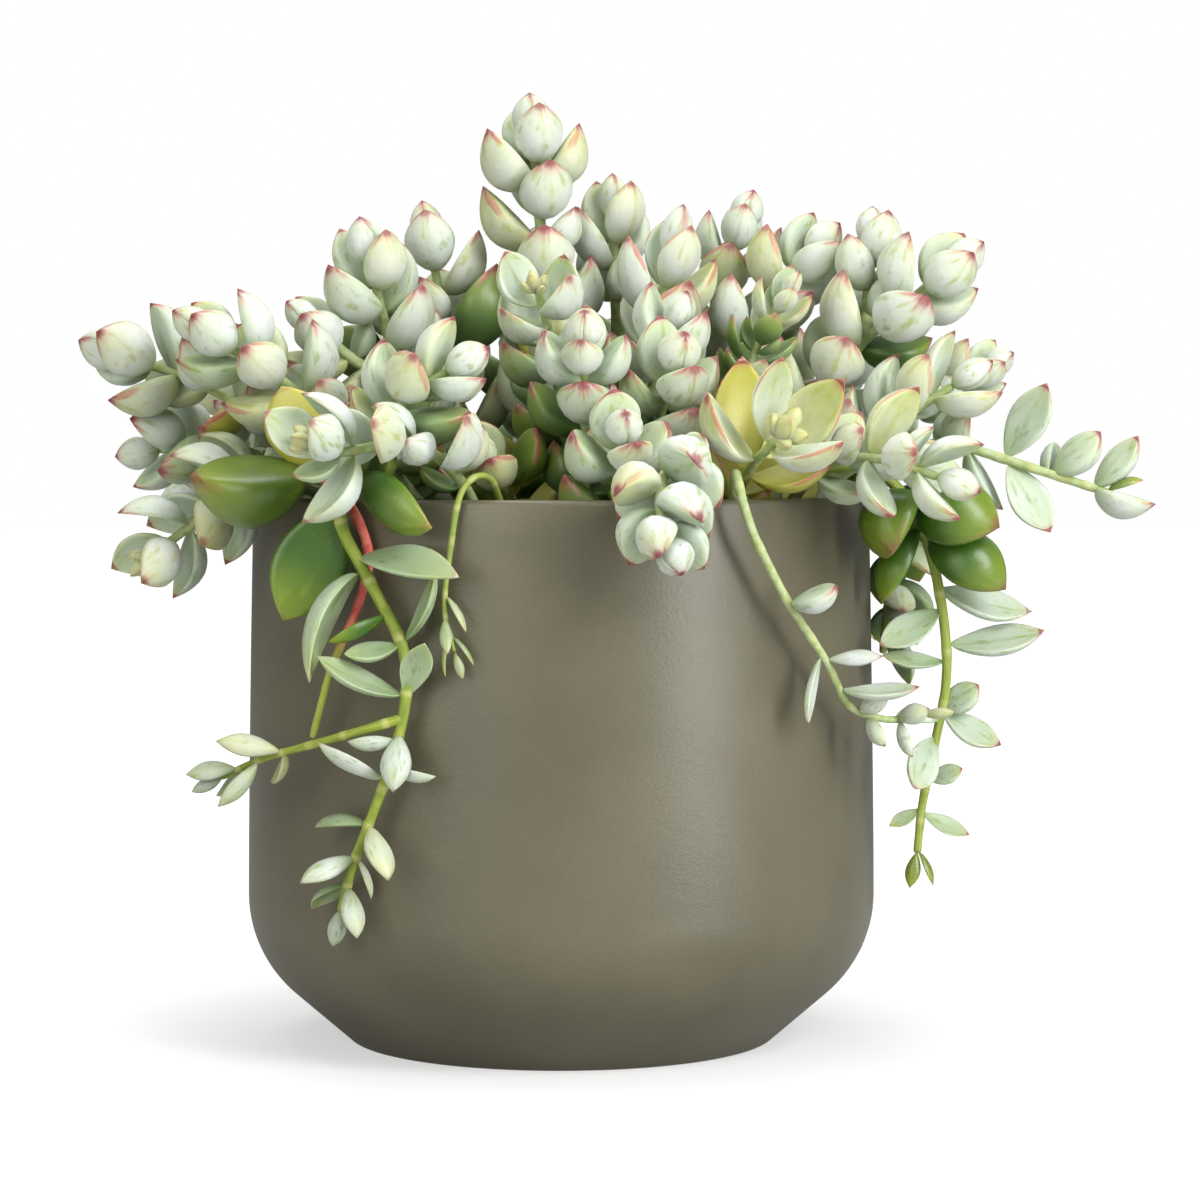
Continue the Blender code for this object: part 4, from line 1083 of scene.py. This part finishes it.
def grow_level(stem, level, draw):
    """One more pair on a compact stem, if the stem is long enough."""
    compact = stem.growth.pairs > 0 and stem.growth.gap <= COMPACT_GAP
    if compact and pair_distance(stem.growth, level) < stem.length - LOWEST_PAIR:
        for half_turn in (0, 180):
            crown.place(stem.name, pair_leaf(stem, level, half_turn, draw), level)


for step in range(1, OLDER_PAIRS + 1):
    for stem, draw in zip(stems, older_draws):
        grow_level(stem, stem.growth.pairs + step, draw)
older_leaves = len(crown.leaves)
print(older_leaves - packed_leaves, "older leaves")
for step in range(BETWEEN_PAIRS):
    for stem, draw in zip(stems, older_draws):
        grow_level(stem, step + FIRST_BETWEEN, draw)
print(len(crown.leaves) - older_leaves, "leaves in the gaps between the pairs")

# %% [markdown]
# ## The form of a leaf
#
# A real leaf is plump and D-shaped in section: its inner face is nearly flat, and its outer side
# is a round belly with a soft keel that runs to a short, sharp tip. The long leaves of the hanging
# stems are thin and hollow on the inner face, like a boat. A leaf could be sculpted once and
# copied, but copies look alike. So each leaf starts as a small ball, and each corner of the ball is
# put where the leaf's outline, section and bend want it. One level of subdivision rounds it, and
# the corner at the tip is creased, so that it stays sharp.
#
# Each corner also carries numbers for the finish: where it is on its leaf, and what state the
# leaf is in.

# %% Leaf form
LEAF_SIDES = 8
LEAF_ROWS = 8
ROUNDING = 1.11  # a subdivided ring of eight is drawn in by about a tenth
FLAT_FACE = 0.16  # how round the inner face of a plump leaf is against its belly
HOLLOW_FACE = -0.45  # the same for a thin leaf, whose inner face is hollow
THIN_SLIM, PLUMP_SLIM = 0.46, 0.70
BUD_FACE = 0.10
OPEN_FACE = -0.30  # in a head that has opened and shows the inner faces
OPEN_HEADS = {"white_rosette", "front_rosette", "sword_rosette", "left_low"}
THIN_OUTLINE, PLUMP_OUTLINE = (0.90, 2.4, 1.15), (0.60, 2.4, 0.95)  # as bulge takes them
BELLY_CURVE = (0.50, 2.4, 0.90)
KEEL, KEEL_SHARPNESS = 0.10, 6
TIP_LENGTH = 1.05
WIDER = 1.04


def ball_places(corners):
    """Where the ball's corners come to lie: the share of the length, across, and inwards."""
    rows = 1 - np.arccos(np.clip(corners[:, 2], -1, 1)) / math.pi
    t = (rows + (1 - np.cos(math.pi * rows)) / 2) / 2  # closer together towards both ends
    angle = np.arctan2(corners[:, 1], corners[:, 0]) - math.pi / 2
    return t, np.cos(angle), np.sin(angle)


def leaf_form(leaf, t, side, rise, facing=1, bud=False):
    """Where the corners of the finer leaf are."""
    slim = leaf.width / leaf.length
    plump = min(max((slim - THIN_SLIM) / (PLUMP_SLIM - THIN_SLIM), 0), 1)
    face = HOLLOW_FACE + (FLAT_FACE - HOLLOW_FACE) * plump
    if bud or leaf.owner in OPEN_HEADS:
        face = BUD_FACE if bud else OPEN_FACE
    curve = [thin + (full - thin) * plump for thin, full in zip(THIN_OUTLINE, PLUMP_OUTLINE)]
    wide = side * leaf.width / 2 * bulge(t, *curve) * WIDER * ROUNDING
    keel = 1 + KEEL * np.clip(-rise, 0, 1) ** KEEL_SHARPNESS * t
    deep = rise * np.where(rise > 0, face, keel)
    deep = deep * leaf.depth * bulge(t, *BELLY_CURVE) * ROUNDING
    deep = deep + leaf.curl * leaf.length * t**2 * facing
    return (leaf.root + np.outer(t * leaf.length * TIP_LENGTH, leaf.along)
            + np.outer(wide, leaf.across * facing) + np.outer(deep, leaf.inner * facing))


print("each leaf starts from", LEAF_SIDES * LEAF_ROWS, "faces")

# %% [markdown]
# ## The form of a stem
#
# A stem starts as a straight rod, is cut across into short rings, and each ring is laid on the
# stem's line. The rings swell where a pair of leaves sits or sat, which gives the scars and nodes
# of the bare stems that hang down.

# %% Stem form
STEM_SIDES = 6
RING_STEP = 0.0016
NODE_SWELL = 0.16
NODE_LENGTH = 0.0012
MOST_NODES = 40


def node_runs(stem):
    """The distances along the stem at which pairs of leaves sit or sat."""
    backs = [pair_distance(stem.growth, level) for level in range(1, MOST_NODES)]
    return np.array([stem.length - back for back in backs if back < stem.length] or [0.0])


def smoothed(line, times=3):
    """The line with its small kinks taken out. Its ends stay."""
    for _ in range(times):
        line = np.vstack([line[:1], (line[:-2] + 2 * line[1:-1] + line[2:]) / 4, line[-1:]])
    return line


STEM_SKIN, STALK_SKIN = 1, 2  # which of a shoot's materials


def stem_rod(stem, look, skin):
    """A rod of rings on the stem's line, as a mesh."""
    rings = max(4, round(stem.length / RING_STEP))
    rod = bmesh.new()
    place = rod.verts.layers.float_vector.new("leaf_place")
    mood = rod.verts.layers.float_vector.new("leaf_state")
    bmesh.ops.create_cone(rod, cap_ends=True, cap_tris=False, segments=STEM_SIDES,
                          radius1=1, radius2=1, depth=1)
    long = [edge for edge in rod.edges
            if abs(edge.verts[0].co.z - edge.verts[1].co.z) > 0.5]
    bmesh.ops.subdivide_edges(rod, edges=long, cuts=rings - 2, use_grid_fill=True)
    line = smoothed(stem.line)
    corners = np.array([vert.co for vert in rod.verts])
    run = (corners[:, 2] + 0.5) * stem.length
    near = np.abs(run[:, None] - node_runs(stem)[None, :]).min(axis=1)
    ring = np.exp(-(near / NODE_LENGTH) ** 2)
    radius = stem.radius_at(run) * (1 + NODE_SWELL * ring) * ROUNDING
    middle = points_at(run, stem.run, line)
    index = np.clip(np.searchsorted(stem.run, run), 0, len(stem.run) - 1)
    tangents = stem.tangents[index]
    sides = np.array(stem.sides)[index]
    ups = np.cross(tangents, sides)
    spots = middle + radius[:, None] * (corners[:, :1] * sides + corners[:, 1:2] * ups)
    for vert, spot, share, scar, around in zip(rod.verts, spots, run, ring, corners[:, 0]):
        vert.co = spot
        vert[place] = (around, share, scar)
        vert[mood] = look
    for face in rod.faces:
        face.material_index = skin
    mesh = bpy.data.meshes.new("rod")
    rod.to_mesh(mesh)
    rod.free()
    return mesh


print("a stem's ring has", STEM_SIDES, "corners")

# %% [markdown]
# ## The state of each leaf
#
# Young leaves are powdery with red tips. Older ones have lost powder and are greener, and a few old
# leaves low on the plant are bright green or yellow with hardly any powder. Leaves that others shade
# are given painted shade: less powder and less yellow, so they look darker and greener. A quarter of
# the leaves in the open have had more sun, so they are yellower, with red margins.
#
# Each leaf could be painted by hand, but there are hundreds. So each stem gets a usual state, and
# each leaf varies about it by chance, by its age and by the painted shade. The shade is found by
# counting the leaves that stand between it and the light. Only the single leaves have states of
# their own, in the order of the table above.

# %% Usual states
USUAL_STATE = (0.05, 0.9, 0.25)  # bare of powder, red at the tip, yellow
STEM_STATES = {  # where they differ from the usual state
    "left_old": (0.95, 0.35, 0.3),
    "left_trail": (0.24, 0.15, 0.2),
    "left_sprig": (0.55, 0.15, 0.25),
    "left_low": (0.08, 0.55, 0.2),
    "right_trail": (0.1, 0.35, 0.2),
    "front_trail": (0.05, 0.45, 0.2),
    "right_shade": (0.25, 0.4, 0.2),
    "right_arm": (0.1, 0.5, 0.2),
    "white_rosette": (0, 0.5, 0.1),
    "front_drop": (0, 0.5, 0.12),
    "front_rosette": (0, 0.6, 0.15),
    "sword_rosette": (0.14, 1, 0.8),
    "front_nook": (0.35, 1, 0.6),
}
SINGLE_STATES = {  # one for each single leaf
    "left_old": ((0.96, 0.3, 0.25), (0.6, 0.9, 0.3), (1, 0.15, 1),
                 (0.9, 0.3, 0.2), (0.55, 0.9, 0.45)),
    "left_trail": ((1, 0.1, 0), (1, 0.2, 0.05), (0.8, 0.15, 0.12),
                   (0.5, 0.15, 0.1), (0.48, 0.1, 0.1), (0.52, 0.05, 0.1),
                   (0.46, 0.05, 0.15), (0.95, 0.05, 0), (0.48, 0.05, 0.1),
                   (0.46, 0.05, 0.12), (0.28, 0.1, 0.2), (0.26, 0.1, 0.2),
                   (0.2, 0.05, 0.2), (0.22, 0.05, 0.2)),
    "left_peak": ((0.8, 0.9, 0.1),),
    "right_trail": ((1, 0.25, 0.12), (1, 0.25, 0.06), (0.92, 0.25, 0.1),
                    (1, 0.15, 0), (0.16, 0.3, 0.1), (0.34, 0.3, 0.1),
                    (0.16, 0.4, 0.1), (0.44, 0.2, 0.1), (0.2, 0.7, 0.15),
                    (0.26, 0.4, 0.15), (0.1, 0.2, 0.15), (0.14, 0.3, 0.15),
                    (0.3, 0.6, 0.2), (0.5, 0.3, 0.2), (0.4, 0.6, 0.2),
                    (0.9, 0.4, 0.36), (0.9, 0.6, 0.36)),
    "front_trail": ((0.12, 0.8, 0.2), (0.02, 0.5, 0.1), (0.1, 0.6, 0.1),
                    (0.04, 0.7, 0.2), (0.2, 0.4, 0.3), (0.3, 0.4, 0.4),
                    (0.3, 0.4, 0.4), (0.1, 0.4, 0.2), (0.5, 0.4, 0.6)),
    "right_arm": ((0.16, 0.8, 0.2), (0.08, 0.8, 0.25), (0.26, 0.9, 0.25),
                  (0.1, 0.5, 0.2), (0.2, 0.9, 0.3), (0.1, 0.5, 0.3),
                  (0.8, 0.7, 0.38), (0.2, 0.9, 0.4), (0.3, 0.7, 0.2),
                  (0.2, 0.6, 0.2), (0.4, 0.6, 0.2), (0.2, 0.8, 0.3),
                  (0.2, 0.8, 0.3)),
}
print(len(STEM_STATES), "stems differ from the usual state")

# %% Shade
# How deep a leaf lies in the shade of others. The leaf's state paints this shade into its colour, as
# less powder and less yellow.
OUTWARDS = np.array([0.25, -0.60, 0.76])  # where most of the light comes from
SHADE_START, SHADE_END, SHADE_WIDTH = 0.008, 0.060, 0.009  # where leaves before a leaf count
SHADE_FULL = 3  # so many of them keep all direct light off it
SHADE_TOP = 0.205  # the heads above this height stand free
leaf_middles = np.array([leaf.centre for leaf in crown.leaves])


def shade_on(leaf):
    """From 0 in the open to 1 where other leaves keep the light off."""
    if leaf.centre[2] > SHADE_TOP:
        return 0
    offsets = leaf_middles - leaf.centre
    before = offsets @ OUTWARDS
    aside = np.linalg.norm(offsets - np.outer(before, OUTWARDS), axis=1)
    over = (before > SHADE_START) & (before < SHADE_END) & (aside < SHADE_WIDTH)
    return min(over.sum() / SHADE_FULL, 1)


print(sum(shade_on(leaf) == 1 for leaf in crown.leaves), "leaves lie in full shade")

# %% The state of one leaf
# The share by shade is painted shade: it takes powder off shaded leaves, so they look darker and
# greener
BARE_BY_CHANCE, BARE_AS_PAINTED_SHADE, BARE_BY_AGE = 0.16, 0.62, 0.05  # how much powder goes
SHADED_LEVEL, AGED_LEVEL = 3, 4  # where shade counts in full, and where age starts to
RED_LEAST, RED_MOST = 0.7, 1.1  # against the stem's usual red
YELLOW_BY_CHANCE = 0.5
# painted shade: shaded leaves lose yellow and look greener
GREEN_AS_PAINTED_SHADE = 0.7
BLUSHED = 0.26  # the share of leaves in the open that the sun has turned
BLUSH_LEVEL, BLUSH_SHADE, BLUSH_BARE = 2, 0.9, 0.3  # the youngest, most shaded and barest of them
BLUSH_BARES, BLUSH_YELLOWS, BLUSH_MARGIN = 0.22, 0.35, (0.5, 1)  # what the sun adds
RED_EDGED = {"sword_rosette", "front_nook", "crown_right"}
EDGED_MARGIN = 0.7
TURNS_YELLOW = 0.06  # the chance of it in full shade
OLD_YELLOW = {"sword_rosette": 3, "front_nook": 3}  # from a level on
YELLOW_LEVEL = 3  # past it any leaf may turn yellow
YELLOW_STATE = (0.85, 1.0, 0.85, 0.8)
NEVER = 99


def leaf_state(leaf, draw):
    """How bare, how red at the tip, how yellow and how red along its margins a leaf is."""
    if leaf.level < 0:
        return *SINGLE_STATES[leaf.owner][-1 - leaf.level], 0
    bare, red, yellow = STEM_STATES.get(leaf.owner, USUAL_STATE)
    shade = shade_on(leaf)
    bare += BARE_BY_CHANCE * draw.random() ** 2
    # painted shade: less powder on leaves that others shade
    bare += BARE_AS_PAINTED_SHADE * shade**2 * min(leaf.level / SHADED_LEVEL, 1)
    bare += BARE_BY_AGE * max(0, leaf.level - AGED_LEVEL)
    red *= draw.uniform(RED_LEAST, RED_MOST)
    # painted shade: less yellow on leaves that others shade
    yellow = (yellow + YELLOW_BY_CHANCE * draw.random() ** 2) * (1 - GREEN_AS_PAINTED_SHADE * shade)
    margin = EDGED_MARGIN if leaf.owner in RED_EDGED else 0
    in_the_open = leaf.level >= BLUSH_LEVEL and shade < BLUSH_SHADE and bare < BLUSH_BARE
    if draw.random() < BLUSHED and in_the_open:
        bare += BLUSH_BARES
        yellow += BLUSH_YELLOWS
        margin = draw.uniform(*BLUSH_MARGIN)
    turns_yellow = draw.random() < TURNS_YELLOW * shade and leaf.level > YELLOW_LEVEL
    if turns_yellow or leaf.level >= OLD_YELLOW.get(leaf.owner, NEVER):
        return YELLOW_STATE
    return min(bare, 1), min(red, 1), min(yellow, 1), margin


print("the sun has turned", BLUSHED, "of the leaves in the open")

# %% Leaves into a shoot
BUDS = ((0.0, 0.60, 12), (0.5, 0.52, 40), (2.2, 0.50, 44), (3.7, 0.46, 40), (5.0, 0.42, 46))
BUD_SLIM, BUD_CURL = 0.56, 0.06
BUD_STATE = (0.48, 0.20, 0.95, 0)


def small_buds(bud):
    """The cluster of small buds in the middle of an open head, in place of its one bud."""
    for turn, share, lean in BUDS:  # in radians, of the bud's length, and in degrees
        out = bud.inner * math.cos(turn) + bud.across * math.sin(turn)
        angle = math.radians(lean)
        along = bud.along * math.cos(angle) + out * math.sin(angle)
        inner = bud.along * math.sin(angle) - out * math.cos(angle)
        small = Leaf(bud.root, along, inner, bud.length * share, BUD_SLIM, BUD_CURL)
        small.owner = bud.owner
        small.level = 0
        yield small


def add_leaf(shape, leaf, state, draw, layers):
    """One leaf, or the two halves of a bud, grown from small balls."""
    place, mood, hue, crease = layers
    bare, red, yellow, margin = state
    bud = leaf.level == 0
    for facing in (1, -1)[:1 + bud]:
        verts = bmesh.ops.create_uvsphere(shape, u_segments=LEAF_SIDES, v_segments=LEAF_ROWS,
                                          radius=1)["verts"]
        seed = draw.random()
        rows, sides, rises = ball_places(np.array([vert.co for vert in verts]))
        corners = leaf_form(leaf, rows, sides, rises, facing, bud)
        for vert, spot, t, side, rise in zip(verts, corners, rows, sides, rises):
            vert.co = spot
            vert[place] = (side, t, rise)
            vert[mood] = (seed, bare, red)
            vert[hue] = (yellow, margin, 0)
            vert[crease] = 1.0 if t > 0.999 else 0.0  # only the corner at the tip


print(len(OPEN_HEADS), "open heads get", len(BUDS), "small buds each")

# %% [markdown]
# ## The leaf's finish
#
# A flat pale green would look like plastic. On the real leaf four layers make the colour, from the
# flesh outwards. The flesh is green to yellow. The powder lies over it and is thinner in rubbed
# patches, along the middle, on the margins and near the tip. It is also thinner at the root, partly
# as the leaf's own greener base and partly as painted shade where the neighbours shade it, and on
# leaves that carry painted shade. On the inner face the powder is greener, partly its own tone and
# partly painted shade. Red comes through near the tip and along the margins, and the very tip is
# crimson. The patterns are read from the numbers that each corner carries, so that they run along
# each leaf whichever way it points. Bare flesh is glossy and powder is not, so the roughness and a
# thin clear coat follow the powder too.

# %% Leaf patterns
powdery = Finish("powdery_leaf", {"Subsurface Weight": 0.40, "Subsurface Scale": 0.005,
                                  "Subsurface Radius": (0.75, 1.0, 0.35),
                                  "Coat Roughness": 0.32})
side, along, face = powdery.attribute("leaf_place")
seed, bare, red = powdery.attribute("leaf_state")
yellow, margin, _ = powdery.attribute("leaf_hue")
# The seed moves each leaf to another part of the noise
spot = powdery.vector(side * 1.1 + seed * 61, along * 1.5, face * 1.1 + seed * 17)
patches = powdery.noise(spot, 2.9, 5)
broad = powdery.noise(powdery.vector(side + seed * 43, along, face), 1.1, 1)
where = powdery.place()
fine = powdery.noise(where, 900)
soft = powdery.noise(where, 240, 3)

# Places on the leaf, and how much powder is left there
edge = (1 - abs(face)).rise(0.5, 1.0)
tip = along.rise(0.42, 0.95)
# Less powder at the root: partly the leaf's own greener base, partly painted shade where the
# neighbours shade it
root = along.rise(0.45, 0.02)
rib = abs(side).rise(0.20, 0.02) * abs(face).rise(0.3, 0.9)
rubbed = (patches + tip * 0.05 + edge * 0.03 + (soft - 0.5) * 0.14).rise(0.57, 0.72)
worn = rubbed * (0.50 + bare * 0.4) + broad.rise(0.35, 0.75) * 0.16
# bare also holds the painted shade of leaves that others shade, which takes powder off them
powder = ((1 - worn) * (1 - bare.rise(0.02, 0.95)) * (1 - root * 0.45) * (1 - edge * 0.20)
          * (1 - tip * (0.14 + yellow * 0.36)) * (1 - rib * 0.35 * patches.rise(0.35, 0.6))
          * 0.95)
print("the powder is a pattern of", len(powdery.tree.nodes), "nodes")

# %% Leaf colours
# The flesh of young and old leaves, the powder over it, and the red over both
young = powdery.mix(yellow.rise(0.0, 0.9), srgb(104, 138, 54), srgb(186, 184, 86))
young = powdery.mix(soft.rise(0.3, 0.7) * 0.35, young, srgb(88, 122, 40))
young = powdery.mix(tip * 0.4, young, srgb(178, 186, 96))
old = powdery.mix(tip * 0.6 + rubbed * 0.2, srgb(56, 92, 18), srgb(128, 148, 34))
old = powdery.mix(yellow.rise(0.1, 0.9), old, srgb(172, 168, 70))
flesh = powdery.mix(bare.rise(0.4, 0.9), young, old)
# The inner face's greener, darker powder is partly its own tone and partly painted shade
bloom = powdery.mix(face.rise(-0.2, 0.9) * 0.6, srgb(207, 210, 212), srgb(174, 191, 163))
bloom = powdery.mix(fine.rise(0.3, 0.75) * 0.20, bloom, srgb(180, 194, 178))
skin = powdery.mix(powder, flesh, bloom)
blush = (along + edge * (0.13 + margin * 0.30) + (patches - 0.5) * 0.14).rise(0.85, 1.01) * red
skin = powdery.mix(blush * 0.80, skin, srgb(170, 84, 88))
crimson = (along + edge * 0.04).rise(0.925, 0.98) * red.rise(0.0, 0.5)
skin = powdery.mix(crimson * 0.9, skin, srgb(118, 36, 52))
powdery.set({"Base Color": skin, "Roughness": 0.40 + 0.30 * powder,
             "Coat Weight": (1 - powder) * 0.25,
             "Normal": powdery.bump(soft * 0.6 + fine * 0.4, 0.00020)})
print(len(powdery.tree.nodes), "nodes in the leaf's finish")

# %% Stem finish
green_stem = Finish("stem_skin", {"Subsurface Weight": 0.10, "Subsurface Scale": 0.002,
                                  "Subsurface Radius": (0.9, 1.0, 0.45)})
around, run, scar = green_stem.attribute("leaf_place")
seed, bare, _ = green_stem.attribute("leaf_state")
grain = green_stem.noise(green_stem.place(), 420, 3)
lines = green_stem.noise(green_stem.vector(around * 3, run * 60, seed * 31), 2.5)
green = green_stem.mix(lines.rise(0.3, 0.7), srgb(112, 132, 36), srgb(150, 162, 62))
pale = green_stem.mix(grain.rise(0.3, 0.7), srgb(160, 178, 118), srgb(196, 208, 172))
skin = green_stem.mix(bare, pale, green)
skin = green_stem.mix(scar.rise(0.3, 0.9) * 0.5, skin, srgb(196, 190, 130))
green_stem.set({"Base Color": skin, "Roughness": 0.5 + 0.2 * grain,
                "Normal": green_stem.bump(grain * 0.5 + lines * 0.5, 0.0003)})

coral_stalk = Finish("coral_stalk", {"Roughness": 0.5})
_, run, _ = coral_stalk.attribute("leaf_place")
grain = coral_stalk.noise(coral_stalk.place(), 300, 3)
coral = coral_stalk.mix(grain.rise(0.3, 0.7), srgb(222, 88, 80), srgb(240, 134, 116))
coral_stalk.set({"Base Color": coral_stalk.mix((run + grain * 0.006).rise(0.052, 0.062), coral,
                                               srgb(158, 168, 70))})
print("stems and the flower stalk have their finishes")

# %% [markdown]
# ## The shoots
#
# Each packed stem becomes one piece with its leaves. One mesh for the whole plant would be
# quicker, but the pieces stay apart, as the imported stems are, so that a shoot can be taken out of
# the pot.

# %% Shoots
USUAL_GREEN = 0.35  # 0 is pale with powder, 1 is green
STEM_GREENS = {"left_trail": 1.0, "left_sprig": 0.9, "left_old": 0.9, "right_trail": 0.95,
               "right_shade": 0.8, "back_trail": 0.9, "back_right_trail": 0.9}
look = random.Random("leaf states")
faces = 0
for name in STEMS:
    shape = bmesh.new()
    for stem in stems:
        if stem.name == name:
            stalk = name == "left_old" and stem.growth.foot is None
            state = (look.random(), STEM_GREENS.get(name, USUAL_GREEN), 0)
            shape.from_mesh(stem_rod(stem, state, STALK_SKIN if stalk else STEM_SKIN))
    place = shape.verts.layers.float_vector["leaf_place"]
    mood = shape.verts.layers.float_vector["leaf_state"]
    hue = shape.verts.layers.float_vector.new("leaf_hue")
    crease = shape.verts.layers.float.new("crease_vert")
    layers = place, mood, hue, crease
    for leaf in [leaf for leaf in crown.leaves if leaf.owner == name]:
        if leaf.level == 0 and name in OPEN_HEADS:
            for bud in small_buds(leaf):
                add_leaf(shape, bud, BUD_STATE, look, layers)
        else:
            add_leaf(shape, leaf, leaf_state(leaf, look), look, layers)
    faces += len(shape.faces)
    shoot = keep(f"{name}_shoot", shape, [powdery, green_stem, coral_stalk])
    shoot.data.shade_smooth()
    smooth = shoot.modifiers.new("round", "SUBSURF")
    smooth.levels = smooth.render_levels = 1
    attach(shoot, "root")
    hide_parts(name)
print(len(STEMS), "shoots,", faces, "faces before they are rounded")
